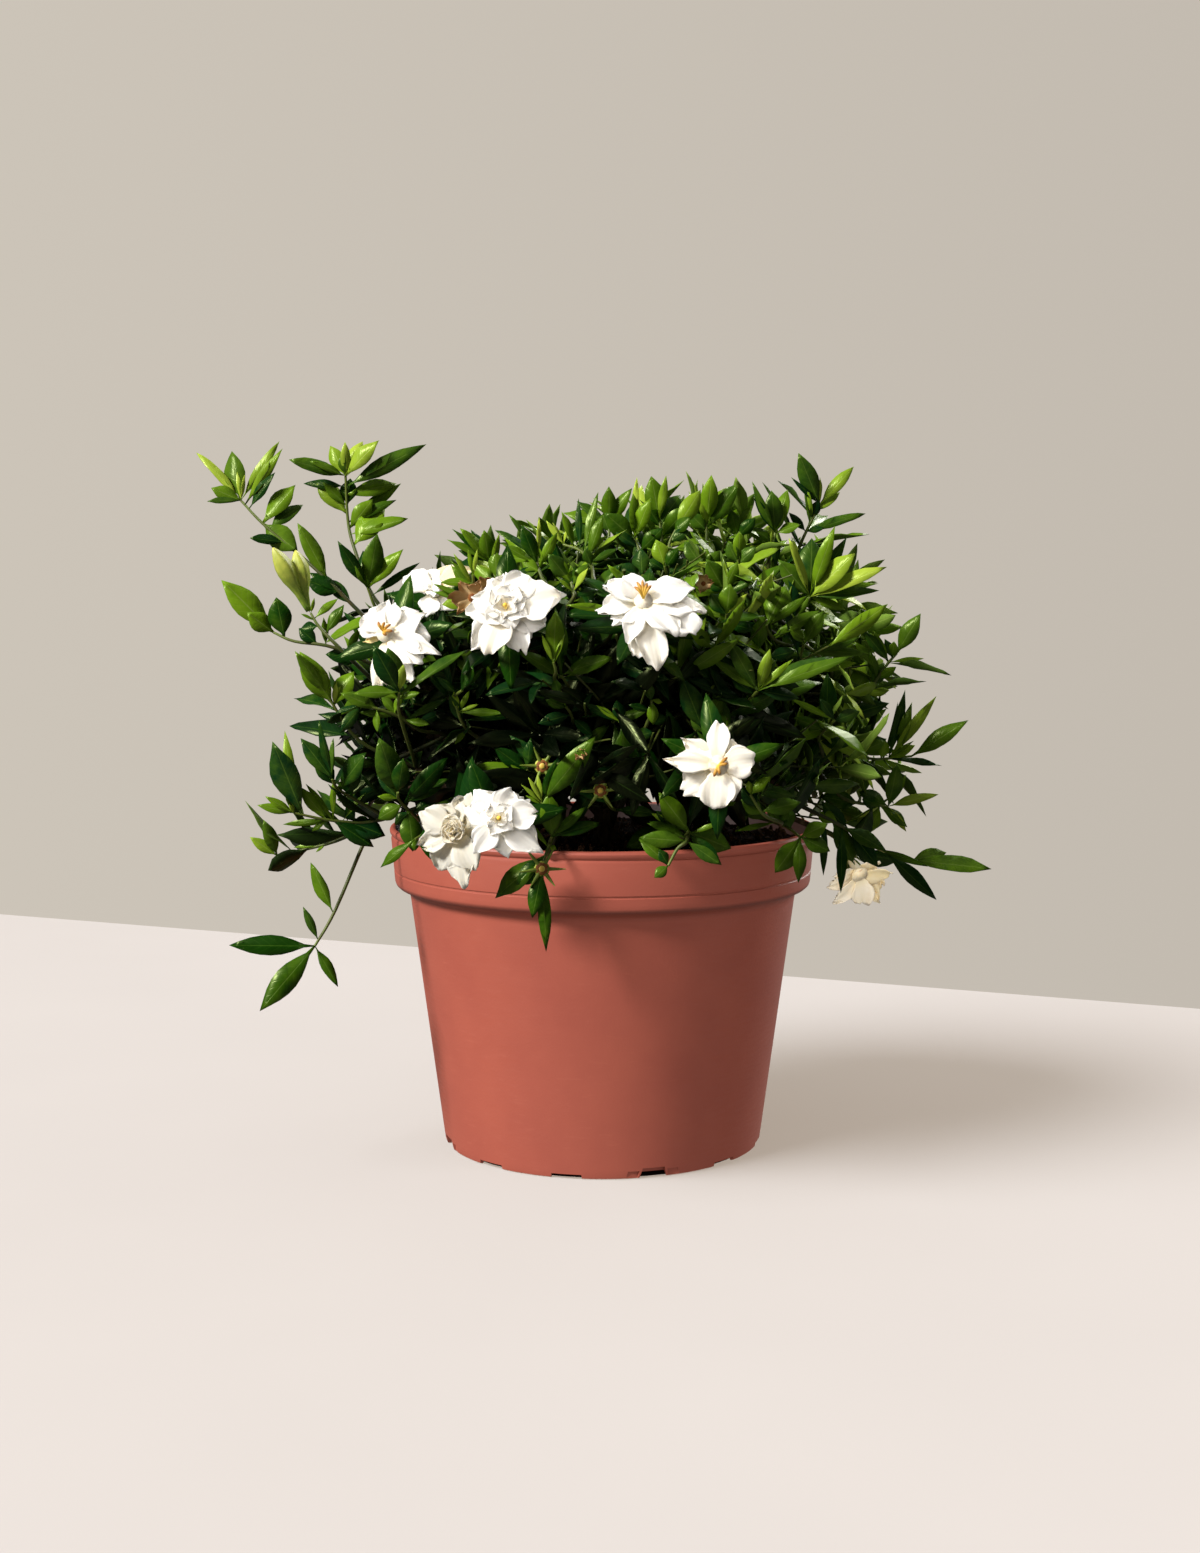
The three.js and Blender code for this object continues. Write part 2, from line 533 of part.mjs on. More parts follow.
// A stem with its leaves. A whorl is { back, leaves }: its distance back from the stem's tip, and leaves
// with a tip, an upward and a width. Whorls come in order from the stem's root, which faces back along
// the given way.
function leafyStem(points, whorls, others, rootWay = points[1].clone().sub(points[0]).normalize()) {
  const curve = new THREE.CatmullRomCurve3(points, false, 'centripetal');
  const length = curve.getLength();
  const distances = [0];
  const firstRings = whorls.map(({ back }) => {
    const last = distances.at(-1);
    const room = length - back - FOOT_HALF - last;
    const steps = Math.ceil(room / RING_STEP);
    for (let step = 1; step <= steps; step += 1) distances.push(last + room * step / steps);
    distances.push(length - back + FOOT_HALF);
    return distances.length - 2;
  });
  if (distances.at(-1) < length - 0.1) distances.push(length);
  let across = new THREE.Vector3(0.31, 0.17, 0.93);
  const rings = distances.map((distance) => {
    const share = Math.min(distance / length, 1);
    const direction = distance === 0 ? rootWay : curve.getTangentAt(share);
    across = across.clone().addScaledVector(direction, -across.dot(direction)).normalize();
    const over = direction.clone().cross(across);
    const radius = STEM_RADIUS + (STEM_TIP_RADIUS - STEM_RADIUS) * share;
    return [0, 1, 2, 3].map((side) => {
      const angle = Math.PI * side / 2;
      const out = across.clone().multiplyScalar(Math.cos(angle)).addScaledVector(over, Math.sin(angle));
      return along(curve.getPointAt(share), out, radius);
    });
  });
  const rows = rings.slice(1).map((far, index) => faceRow(rings[index], far));
  const bare = new Set([...rows.flat(), rings.at(-1), rings[0].toReversed()]);
  const core = solidOfFaces([...bare].flatMap(halves));
  const skins = [];
  const own = [core];
  whorls.forEach(({ leaves }, index) => {
    const row = firstRings[index];
    const grips = row === rows.length - 1 ? [...rows[row], rings.at(-1)] : rows[row];
    for (const leaf of leaves) {
      const facing = (grip) => facingOf(grip).dot(leaf.tip.clone().sub(middle(grip)).normalize());
      const free = grips.filter((grip) => bare.has(grip) && facing(grip) > LEAST_FACING);
      free.sort((one, other) => facing(other) - facing(one));
      const grown = free.length ? clearLeaf(leaf, free[0], own, others) : null;
      if (!grown) continue;
      bare.delete(free[0]);
      skins.push(...grown.faces);
      own.push(grown.solid);
    }
  });
  return { solid: solidOfFaces([...skins, ...[...bare].flatMap(halves)]), parts: own };
}

// Five thin teeth round the brown disc that a fallen flower leaves.
function spentCalyx(end, facing, draw) {
  const side = facing.clone().cross(new THREE.Vector3(0, 0, 1)).normalize();
  const teeth = [stem([along(end, facing, -4), along(end, facing, 1.2)], 1.2, 2.6, 6)];
  for (let index = 0; index < 5; index += 1) {
    const turn = side.clone().applyAxisAngle(facing, 2 * Math.PI * (index + draw(-0.15, 0.15)) / 5);
    const tip = along(along(end, turn, draw(8, 11)), facing, draw(1, 4));
    teeth.push(stem([end, tip], 1.1, 0.4, 3));
  }
  return teeth.filter(isClear);
}

// The leaves of a branch grow in twos, with a third at the tip, each whorl a little further back.
function growBranch(branch, draw, others) {
  const points = branch.stem.map(point);
  const whorls = [];
  const leaves = [...branch.leaves].sort((one, other) => one[0] - other[0]);
  leaves.forEach(([back, x, z], index) => {
    const place = Math.max(0, Math.floor((index - 1) / 2));
    if (place === whorls.length) {
      const nearest = place ? whorls.at(-1).back + WHORL_STEP : FOOT_HALF;
      whorls.push({ back: Math.max(back, nearest), leaves: [] });
    }
    const foot = pointBack(points, back);
    const lean = draw(-0.35, 0.25);
    const tip = new THREE.Vector3(x, foot.y + lean * Math.hypot(x - foot.x, z - foot.z), z);
    const upward = new THREE.Vector3(draw(-0.5, 0.5), -1, draw(0.2, 1.4)).normalize();
    whorls.at(-1).leaves.push({ tip, upward, width: foot.distanceTo(tip) * LEAF_WIDTH_SHARE });
  });
  return leafyStem(points, whorls.reverse(), others);
}

function growHandSpray(branches, draw) {
  const parts = [];
  const solids = branches.map((branch) => {
    const grown = growBranch(branch, draw, parts);
    parts.push(...grown.parts);
    return grown.solid;
  });
  const { stem: line, calyx } = branches[0];
  if (calyx) solids.push(...spentCalyx(point(line.at(-1)), new THREE.Vector3(0, -1, 0.15).normalize(), draw));
  return fuse(solids);
}

// A stalk that ends in the green cup of a bloom, with a whorl of leaves behind the petals.
function growStalk({ at, faces }, seed) {
  const draw = drawer(seed);
  const facing = point(faces).normalize();
  const cup = along(point(at), facing, -BLOOM_TUBE - GAP);
  const side = facing.clone().cross(new THREE.Vector3(0, 0, 1)).normalize();
  const whorls = [0, 1].map((step) => ({
    back: 6 - 4 * step,
    leaves: [0, 2].map((half) => {
      const turn = side.clone().applyAxisAngle(facing, Math.PI * (half + step + draw(-0.3, 0.3)) / 2);
      const tip = along(along(cup, turn, draw(32, 37)), facing, draw(-2, 6));
      return { tip, upward: facing, width: draw(11, 13) };
    }),
  }));
  const points = [stalkRoot({ at, faces }), along(cup, facing, -16), along(cup, facing, -4)];
  return fuse([leafyStem(points, whorls, []).solid, stem([along(cup, facing, -5), cup], 1.1, 2, 6)]);
}

// Where a bloom's stalk leaves the wood: behind the bloom, nearer the middle of the crown.
function stalkRoot({ at, faces }) {
  const behind = along(point(at), point(faces).normalize(), -BLOOM_TUBE - 16);
  const inward = CROWN.clone().sub(behind).normalize();
  return along(behind, inward, 14);
}

// A branch that grows by rule: leaves in pairs, each pair turned a right angle from the last.
const RULE_PAIRS = [[0.4, 64, 36], [0.72, 56, 38], [0.97, 36, 33]]; // share of the stem, opening, length

// The whorls of such a branch.
function ruleWhorls(points, draw) {
  const reach = points[0].distanceTo(points.at(-1));
  const direction = points.at(-1).clone().sub(points[0]).normalize();
  const start = new THREE.Vector3(0, 0, 1).cross(direction).normalize();
  const first = draw(0, 180);
  return RULE_PAIRS.map(([share, open, size], pair) => {
    const back = reach * (1 - share) + FOOT_HALF;
    const foot = pointBack(points, back);
    const leaves = [0, 180].map((half) => {
      const turn = first + 90 * pair + half + draw(-18, 18);
      const side = start.clone().applyAxisAngle(direction, radians(turn));
      const hinge = direction.clone().cross(side).normalize();
      const way = direction.clone().applyAxisAngle(hinge, radians(open + draw(-10, 10)));
      const length = size * draw(0.9, 1.12);
      return { tip: along(foot, way, length), upward: direction, width: length * draw(0.31, 0.37) };
    });
    return { back, leaves };
  });
}

// Roots and tips of the sprays placed by rule: spread evenly over the crown by the golden angle,
// leaving room for the shoots and the blooms placed by hand.
function rulePlaces() {
  const taken = Object.values(HAND_SPRAYS).flat().map((branch) => point(branch.stem.at(-1)));
  taken.push(...Object.values(BLOOMS).map((bloom) => point(bloom.at)));
  const places = [];
  for (let index = 0; index < RULE_TRIES; index += 1) {
    const height = 0.97 - 1.35 * (index + 0.5) / RULE_TRIES;
    const azimuth = radians(137.5 * index);
    const level = Math.sqrt(1 - height * height);
    const way = new THREE.Vector3(level * Math.cos(azimuth), level * Math.sin(azimuth), height);
    const tip = way.clone().multiply(CROWN_REACH).multiplyScalar(0.8).add(CROWN);
    const root = way.clone().multiply(CROWN_REACH).multiplyScalar(0.44).add(CROWN);
    if (taken.every((other) => other.distanceTo(tip) > ROOM)) places.push({ root, tip });
  }
  return places;
}

// Points of a stem from root to tip whose middle bends until the stem is clear, or null.
function clearLine(root, tip, bend, draw) {
  for (let attempt = 0; attempt < 14; attempt += 1) {
    const sway = new THREE.Vector3(draw(-1, 1), draw(-1, 1), draw(-0.6, 1)).multiplyScalar(bend * (1 + attempt / 4));
    const line = [root, root.clone().lerp(tip, 0.5).add(sway), tip];
    const tested = [root.clone().lerp(line[1], 0.05), ...line.slice(1)];
    if (isClear(stem(tested, STEM_RADIUS, STEM_TIP_RADIUS, 4))) return line;
  }
  return null;
}

// A spray of one long branch and a side branch, or null where it has no room.
function growRuleSpray({ root, tip }, seed) {
  const draw = drawer(seed);
  const line = clearLine(root, tip, 4, draw);
  if (!line) return null;
  const main = leafyStem(line, ruleWhorls(line, draw), [], tip.clone().sub(root).normalize());
  const fork = root.clone().lerp(line[1], 0.6);
  const swing = new THREE.Vector3(draw(-1, 1), draw(-1, 1), draw(-0.4, 1)).normalize();
  const sideLine = clearLine(fork, along(tip, swing, 24), 6, draw);
  if (!sideLine) return main.solid;
  return fuse([main.solid, leafyStem(sideLine, ruleWhorls(sideLine, draw), main.parts).solid]);
}

// ---------------------------------------------------------------- the wood
// Trunk, boughs and one twig to the root of every spray. A twig ends in line with the spray's stem.
function makeWood(starts) {
  const fork = new THREE.Vector3(0, 0, FORK_Z);
  const parts = [stem([new THREE.Vector3(0, 0, SOIL_TOP_Z - TRUNK_DEPTH), fork], TRUNK_RADIUS, 5, 8)];
  const ends = [new THREE.Vector3(-14, 6, 226), new THREE.Vector3(20, -6, 230)];
  for (let index = 0; index < BOUGHS; index += 1) {
    const azimuth = 2 * Math.PI * (index + 0.5) / BOUGHS;
    ends.push(new THREE.Vector3(BOUGH_REACH * Math.cos(azimuth), BOUGH_REACH * Math.sin(azimuth), BOUGH_END_Z));
  }
  const spots = [];
  for (const end of ends) {
    const bend = fork.clone().lerp(end, 0.5).add(new THREE.Vector3(0, 0, 5));
    const bough = [along(fork, new THREE.Vector3(0, 0, -1), 6), bend, end];
    parts.push(stem(bough, 3.6, 2.4, 4));
    for (let index = 0; index < TWIG_SPOTS; index += 1) spots.push(pointBack(bough, 1 + TWIG_SPACING * index));
  }
  for (const { root, next } of starts) {
    const direction = next.clone().sub(root).normalize();
    spots.sort((one, other) => one.distanceTo(root) - other.distanceTo(root));
    parts.push(stem([spots.shift(), along(root, direction, -GAP)], 1.7, TWIG_RADIUS, 3, direction));
  }
  return fuse(parts);
}

// ---------------------------------------------------------------- putting it together
const seedOf = (index) => 20 + index;
const places = rulePlaces();
const handSprays = Object.entries(HAND_SPRAYS);
const blooms = Object.entries(BLOOMS);

const starts = handSprays.map(([, branches]) => ({
  root: point(branches[0].stem[0]),
  next: point(branches[0].stem[1]),
}));
for (const [, bloom] of blooms) {
  const root = stalkRoot(bloom);
  const next = along(point(bloom.at), point(bloom.faces).normalize(), -BLOOM_TUBE - GAP - 16);
  starts.push({ root, next });
}
for (const { root, tip } of places) starts.push({ root, next: tip });

addPiece('pot', makePot(), POT_PLASTIC);
addPiece('soil', makeSoil(), POTTING_SOIL);
blooms.forEach(([name, bloom], index) => addPiece(name, makeBloom(bloom, seedOf(index)), PETAL));
addPiece('buds', makeBuds(), BUD);
addPiece('woody_stems', makeWood(starts), BARK);
blooms.forEach(([name, bloom], index) => {
  addPiece(name.replace('bloom', 'stalk'), growStalk(bloom, seedOf(index + 10)), LEAF);
});
handSprays.forEach(([name, branches], index) => {
  addPiece(name, growHandSpray(branches, drawer(seedOf(index + 20))), LEAF);
});
places.forEach((place, index) => {
  const spray = growRuleSpray(place, seedOf(index + 60));
  if (spray) addPiece(`spray_crown_${index + 1}`, spray, LEAF);
});

export default plant;
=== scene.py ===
# %% [markdown]
# # A gardenia in its nursery pot
# A young gardenia bush stands in a plastic nursery pot. The solid model gives the size and the place of
# every piece. This lesson dresses it: each piece is made again with its real surface, in metres, in the same
# frame (+Z up, -Y to the front), and stands for the plain solid of the same name.

# %% Load the solid model and keep its box
import math

import bmesh
import bpy
from mathutils import Matrix, Quaternion, Vector, noise


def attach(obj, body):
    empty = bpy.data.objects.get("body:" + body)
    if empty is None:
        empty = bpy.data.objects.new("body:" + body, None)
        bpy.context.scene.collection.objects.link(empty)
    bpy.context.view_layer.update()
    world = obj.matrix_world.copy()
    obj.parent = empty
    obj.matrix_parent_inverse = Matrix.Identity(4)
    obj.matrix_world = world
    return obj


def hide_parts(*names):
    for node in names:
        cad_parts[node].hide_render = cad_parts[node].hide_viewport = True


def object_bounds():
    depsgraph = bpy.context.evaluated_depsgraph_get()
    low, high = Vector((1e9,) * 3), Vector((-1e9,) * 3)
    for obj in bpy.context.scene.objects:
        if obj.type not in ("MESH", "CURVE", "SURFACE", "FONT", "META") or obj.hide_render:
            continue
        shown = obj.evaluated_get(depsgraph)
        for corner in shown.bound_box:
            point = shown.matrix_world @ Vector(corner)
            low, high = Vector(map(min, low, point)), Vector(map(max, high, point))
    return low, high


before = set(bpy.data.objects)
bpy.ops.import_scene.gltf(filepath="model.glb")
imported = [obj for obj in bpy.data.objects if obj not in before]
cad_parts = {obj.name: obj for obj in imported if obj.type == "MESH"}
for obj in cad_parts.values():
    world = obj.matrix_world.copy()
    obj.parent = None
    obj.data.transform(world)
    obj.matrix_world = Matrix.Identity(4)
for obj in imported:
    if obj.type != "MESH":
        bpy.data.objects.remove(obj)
CAD_LOW, CAD_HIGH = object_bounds()
print(len(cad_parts), "solids, from", tuple(CAD_LOW), "to", tuple(CAD_HIGH))

# %% [markdown]
# ## Small helpers
# Places are written in millimetres, as a gardener would measure them, and turned into metres by `spot`.
# Every random draw is seeded, so that the plant grows the same way each time.

# %% Places, lines and seeded draws
MM = 0.001


def spot(x, y, z):
    """A place given in millimetres, in metres."""
    return Vector((x, y, z)) * MM


def drawer(seed):
    """A seeded draw between two numbers."""
    state = [(seed * 7919 + 104729) & 0xFFFFFFFF]

    def draw(low, high):
        state[0] = (state[0] * 1664525 + 1013904223) & 0xFFFFFFFF
        return low + (high - low) * state[0] / 4294967296

    draw(0, 1)
    return draw


def smooth_line(corners, steps=5):
    """A smooth line through a few places, with some steps between each two."""
    ends = [corners[0] * 2 - corners[1], *corners, corners[-1] * 2 - corners[-2]]
    line = []
    for a, b, c, d in zip(ends, ends[1:], ends[2:], ends[3:]):
        for step in range(steps):
            t = step / steps
            line.append(0.5 * (2 * b + (c - a) * t + (2 * a - 5 * b + 4 * c - d) * t * t
                               + (3 * b - a - 3 * c + d) * t ** 3))
    return line + [corners[-1]]


def point_back(line, distance):
    """The place that lies the given distance back from the end of a line, and the line's way there."""
    for near, far in zip(reversed(line[:-1]), reversed(line[1:])):
        span = (far - near).length
        if distance <= span:
            return far.lerp(near, distance / span), (far - near).normalized()
        distance -= span
    return line[0].copy(), (line[1] - line[0]).normalized()


def blend(low, high, share):
    """The number at a share of the way between two, held between them."""
    return low + (high - low) * max(0.0, min(1.0, share))


# %% [markdown]
# Node trees, for geometry as for materials, are built by one small class: an input can be a plain value or
# the output of another node.

# %% A builder of node trees
class Nodes:
    def __init__(self, tree):
        self.tree = tree

    def add(self, kind, inputs=None, output=0, **settings):
        node = self.tree.nodes.new(kind)
        for name, value in settings.items():
            setattr(node, name, value)
        for key, value in (inputs or {}).items():
            if isinstance(value, bpy.types.NodeSocket):
                self.tree.links.new(value, node.inputs[key])
            else:
                node.inputs[key].default_value = value
        return node.outputs[output]

    def math(self, operation, *values):
        return self.add("ShaderNodeMath", dict(enumerate(values)), operation=operation)

    def vector_math(self, operation, *values, output=0):
        return self.add("ShaderNodeVectorMath", dict(enumerate(values)), output, operation=operation)

    def split(self, vector):
        """The X, Y and Z of a vector, each as an output."""
        return tuple(self.add("ShaderNodeSeparateXYZ", {0: vector}).node.outputs)

    def scaled(self, vector, factor):
        return self.add("ShaderNodeVectorMath", {0: vector, "Scale": factor}, operation="SCALE")

    def range(self, value, low, high, to_low=0.0, to_high=1.0):
        inputs = {"Value": value, "From Min": low, "From Max": high, "To Min": to_low, "To Max": to_high}
        return self.add("ShaderNodeMapRange", inputs, clamp=True)

    def colours(self, factor, first, second):
        """A mix of two colours, each a plain colour or a node's output."""
        return self.add("ShaderNodeMix", {0: factor, 6: first, 7: second}, 2, data_type="RGBA")

    def curve(self, value, points):
        """A smooth curve through (value, result) points."""
        output = self.add("ShaderNodeFloatCurve", {"Value": value})
        curve = output.node.mapping.curves[0]
        curve.points[0].location = points[0]
        curve.points[1].location = points[-1]
        for point in points[1:-1]:
            curve.points.new(*point)
        output.node.mapping.update()
        return output


def settle(piece):
    """Turns what the modifiers show into a plain mesh, and takes the modifiers away."""
    evaluated = piece.evaluated_get(bpy.context.evaluated_depsgraph_get())
    mesh = bpy.data.meshes.new_from_object(evaluated)
    piece.modifiers.clear()
    piece.data = mesh
    return piece


def new_piece(name, mesh):
    piece = bpy.data.objects.new(name, mesh)
    bpy.context.scene.collection.objects.link(piece)
    return piece


def hand_over(piece, slot, *nodes):
    """The piece rides on the plant's one body and stands for the solids named."""
    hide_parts(*nodes)
    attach(piece, "root")


# %% [markdown]
# ## Finishes
# A finish is a Principled shader with nodes for what varies over the surface. The patterns read object
# coordinates, in metres, or attributes that a piece carries. `srgb` turns a colour as seen in a photograph
# into the light values that shaders use.

# %% Shared steps of every finish
def srgb(red, green, blue):
    """A colour from 0 to 255 as seen, as linear light with full cover."""
    def linear(value):
        value /= 255
        return value / 12.92 if value <= 0.04045 else ((value + 0.055) / 1.055) ** 2.4
    return (linear(red), linear(green), linear(blue), 1.0)


def finish(name, **plain):
    """A new material, its node builder and its Principled shader, with plain values set on it."""
    material = bpy.data.materials.new(name)
    material.use_nodes = True
    nodes = Nodes(material.node_tree)
    shader = material.node_tree.nodes["Principled BSDF"]
    for socket, value in plain.items():
        shader.inputs[socket.replace("_", " ")].default_value = value
    return material, nodes, shader


def object_noise(nodes, scale, detail=2.0, roughness=0.5, stretch=(1, 1, 1)):
    """Noise over object coordinates: scale is the number of blobs in a metre."""
    place = nodes.add("ShaderNodeTexCoord", output=3)
    place = nodes.add("ShaderNodeMapping", {"Vector": place, "Scale": stretch})
    inputs = {"Vector": place, "Scale": scale, "Detail": detail, "Roughness": roughness}
    return nodes.add("ShaderNodeTexNoise", inputs)


def attribute(nodes, name, output=0):
    """What a piece's attribute holds: output 0 is its colour, 1 its vector, 2 its number."""
    return nodes.add("ShaderNodeAttribute", output=output, attribute_name=name)


def feed(shader, socket, output):
    """Links a node's output to one of the shader's inputs."""
    shader.id_data.links.new(output, shader.inputs[socket])


def bump(nodes, shader, height, strength, distance):
    inputs = {"Height": height, "Strength": strength, "Distance": distance}
    feed(shader, "Normal", nodes.add("ShaderNodeBump", inputs))


# %% [markdown]
# The pot is moulded polypropylene: an even brick colour with faint clouding, a soft sheen and a skin that is
# not quite smooth. Fine scuffs lie round it, because pots are stacked in one another and turned. Its inside
# under the rim is painted near black, as painted shade.

# %% Pot plastic
PAINTED_SHADE_RADII = (0.0992, 0.0998)  # metres from the axis: painted shade up to the first, none from the second
PAINTED_SHADE_HEIGHTS = (0.12, 0.13)  # metres above the ground: no painted shade up to the first, painted shade from the second


def pot_plastic():
    material, nodes, shader = finish("pot plastic", Roughness=0.5, IOR=1.4)
    clouds = object_noise(nodes, 28, 3.0, 0.6)
    colour = nodes.colours(nodes.range(clouds, 0.3, 0.7), srgb(164, 82, 66), srgb(172, 88, 70))
    scuffs = object_noise(nodes, 260, 2.0, 0.6, stretch=(0.4, 0.4, 2.4))
    colour = nodes.colours(nodes.range(scuffs, 0.62, 0.8, 0.0, 0.25), colour, srgb(186, 102, 80))
    # painted shade: the pot's inside under the rim is painted near black, where shade falls inside the pot
    place = nodes.add("ShaderNodeTexCoord", output=3)
    around = nodes.vector_math("LENGTH", nodes.vector_math("MULTIPLY", place, (1, 1, 0)), output=1)
    inside = nodes.range(around, *PAINTED_SHADE_RADII, 0.97, 0.0)
    inside = nodes.math("MULTIPLY", inside, nodes.range(nodes.split(place)[2], *PAINTED_SHADE_HEIGHTS))
    colour = nodes.colours(inside, colour, srgb(26, 18, 14))
    feed(shader, "Base Color", colour)
    feed(shader, "Roughness", nodes.range(scuffs, 0.3, 0.75, 0.42, 0.6))
    bump(nodes, shader, object_noise(nodes, 900, 2.0, 0.5), 0.12, 0.0004)
    return material


# %% [markdown]
# Potting soil is a mix of dark crumbs and paler bits of bark. Bark on the young wood is grey-brown with
# cracks along the stem.

# %% Soil and bark
def potting_soil():
    material, nodes, shader = finish("potting soil", Roughness=0.95)
    crumbs = object_noise(nodes, 420, 4.0, 0.7)
    colour = nodes.colours(nodes.range(crumbs, 0.35, 0.7), srgb(38, 25, 18), srgb(92, 66, 46))
    feed(shader, "Base Color", colour)
    bump(nodes, shader, crumbs, 0.9, 0.003)
    return material


def bark_chips():
    material, nodes, shader = finish("bark chips", Roughness=0.85)
    grain = object_noise(nodes, 300, 3.0, 0.6)
    colour = nodes.colours(nodes.range(grain, 0.3, 0.7), srgb(70, 44, 28), srgb(148, 104, 66))
    feed(shader, "Base Color", colour)
    bump(nodes, shader, grain, 0.6, 0.001)
    return material


def bark():
    material, nodes, shader = finish("bark", Roughness=0.85)
    cracks = object_noise(nodes, 300, 3.0, 0.6, stretch=(1, 1, 0.3))
    colour = nodes.colours(nodes.range(cracks, 0.35, 0.65), srgb(66, 48, 32), srgb(128, 106, 78))
    feed(shader, "Base Color", colour)
    bump(nodes, shader, cracks, 0.8, 0.0012)
    return material


# %% [markdown]
# A gardenia leaf is waxy and dark above, paler and duller below, with a pale midrib and sunken side veins.
# Young leaves at the tips of the shoots are a light yellow-green. Each leaf carries three attributes:
# `blade` holds how far across (-1 to 1), how far along (0 to 1) and on which face (+ above) a point lies,
# `shade` holds how pale the leaf is, from about -1 to 1, for its youth and for painted light: leaves at the
# crown's top and right are painted paler, and those deep inside it and at its front are painted near black,
# as painted shade. `tint` leans its green towards yellow or blue.

# %% Leaf and green stem
def leaf_green():
    material, nodes, shader = finish("leaf", IOR=1.36, Specular_Tint=(0.84, 1.0, 0.4, 1.0))
    across, along, face = nodes.split(attribute(nodes, "blade", 1))
    away = nodes.math("ABSOLUTE", across)
    youth_and_painted_light = attribute(nodes, "shade", 2)
    mottle = object_noise(nodes, 130, 3.0, 0.6)
    youth_and_painted_light = nodes.math("ADD", youth_and_painted_light, nodes.range(mottle, 0.3, 0.7, -0.06, 0.06))
    tint = attribute(nodes, "tint", 2)
    deep = nodes.colours(nodes.range(tint, -0.4, 0.4), srgb(22, 66, 4), srgb(14, 56, 24))
    # painted shade: below -0.3 the green runs to near black, and the midrib and underside darken with it, for
    # leaves deep in the crown and at its front
    old_and_painted_shade = nodes.colours(nodes.range(youth_and_painted_light, -0.3, 0.1), srgb(2, 7, 2), deep)
    grown_up = nodes.colours(nodes.range(youth_and_painted_light, 0.1, 0.5), old_and_painted_shade, srgb(116, 154, 24))
    upper = nodes.colours(nodes.range(youth_and_painted_light, 0.5, 1.0), grown_up, srgb(190, 212, 72))
    veins = nodes.math("SUBTRACT", nodes.math("MULTIPLY", along, 9.0), nodes.math("MULTIPLY", away, 1.6))
    ridge = nodes.math("ABSOLUTE", nodes.math("SUBTRACT", nodes.math("FRACT", veins), 0.5))
    vein = nodes.range(ridge, 0.0, 0.12, 1.0, 0.0)
    midrib = nodes.range(away, 0.015, 0.07, 1.0, 0.0)
    pale = nodes.colours(nodes.range(youth_and_painted_light, -0.5, 0.05), srgb(14, 24, 8), srgb(74, 112, 30))
    pale = nodes.colours(nodes.range(youth_and_painted_light, 0.05, 1.0), pale, srgb(208, 222, 120))
    upper = nodes.colours(nodes.math("MULTIPLY", vein, 0.1), upper, pale)
    upper = nodes.colours(nodes.math("MULTIPLY", midrib, 0.55), upper, pale)
    lower = nodes.colours(nodes.range(youth_and_painted_light, -0.5, 0.05), srgb(6, 11, 4), srgb(40, 66, 22))
    lower = nodes.colours(nodes.range(youth_and_painted_light, 0.05, 1.0), lower, srgb(132, 164, 60))
    lower = nodes.colours(nodes.math("MULTIPLY", midrib, 0.5), lower, pale)
    above = nodes.range(face, -0.1, 0.1)
    feed(shader, "Base Color", nodes.colours(above, lower, upper))
    feed(shader, "Roughness", nodes.range(face, -0.1, 0.1, 0.6, 0.28))
    height = nodes.math("SUBTRACT", nodes.math("MULTIPLY", midrib, -0.6), nodes.math("MULTIPLY", vein, 0.2))
    bump(nodes, shader, height, 0.25, 0.0005)
    return material


def green_stem():
    material, nodes, shader = finish("green stem", Roughness=0.5)
    youth_and_painted_light = attribute(nodes, "shade", 2)
    colour = nodes.colours(nodes.range(youth_and_painted_light, 0.0, 1.0), srgb(34, 40, 16), srgb(140, 164, 56))
    streaks = object_noise(nodes, 500, 2.0, 0.5, stretch=(1, 1, 0.3))
    colour = nodes.colours(nodes.range(streaks, 0.45, 0.75, 0.0, 0.5), colour, srgb(96, 72, 40))
    feed(shader, "Base Color", colour)
    return material


# %% [markdown]
# Petals are soft and white, creamy towards their base and where they age, with thin veins that only show as
# a faint bump. `petal` holds across (-1 to 1), along (0 to 1) and the age of the petal.

# %% Petals and the parts in a flower's heart
def petal_white():
    material, nodes, shader = finish("petal", Roughness=0.65, Subsurface_Weight=0.4, Subsurface_Scale=0.002,
                                     Subsurface_Radius=(1.0, 0.9, 0.75))
    across, along, age = nodes.split(attribute(nodes, "petal", 1))
    fresh = nodes.colours(nodes.range(along, 0.0, 0.35), srgb(250, 236, 194), srgb(255, 252, 243))
    cloud = nodes.range(object_noise(nodes, 110, 3.0, 0.6), 0.35, 0.65)
    tan = nodes.colours(cloud, srgb(240, 208, 128), srgb(250, 228, 172))
    colour = nodes.colours(age, fresh, tan)
    edge = nodes.range(along, 0.9, 1.0)
    spots = nodes.math("MULTIPLY", edge, nodes.range(object_noise(nodes, 240, 2.0, 0.6), 0.58, 0.66))
    colour = nodes.colours(nodes.math("MULTIPLY", spots, age), colour, srgb(176, 116, 52))
    feed(shader, "Base Color", colour)
    lines = nodes.math("SINE", nodes.math("MULTIPLY", across, 26.0))
    bump(nodes, shader, lines, 0.08, 0.0002)
    return material


def plain_tinted(name, first, second, roughness=0.6):
    """A finish that runs from one colour to another along a part, told by its `petal` attribute."""
    material, nodes, shader = finish(name, Roughness=roughness)
    along = nodes.split(attribute(nodes, "petal", 1))[1]
    patches = nodes.range(object_noise(nodes, 350, 2.0, 0.5), 0.3, 0.7, -0.15, 0.15)
    share = nodes.math("ADD", along, patches)
    colour = nodes.colours(nodes.range(share, 0.0, 1.0), first, second)
    feed(shader, "Base Color", colour)
    return material


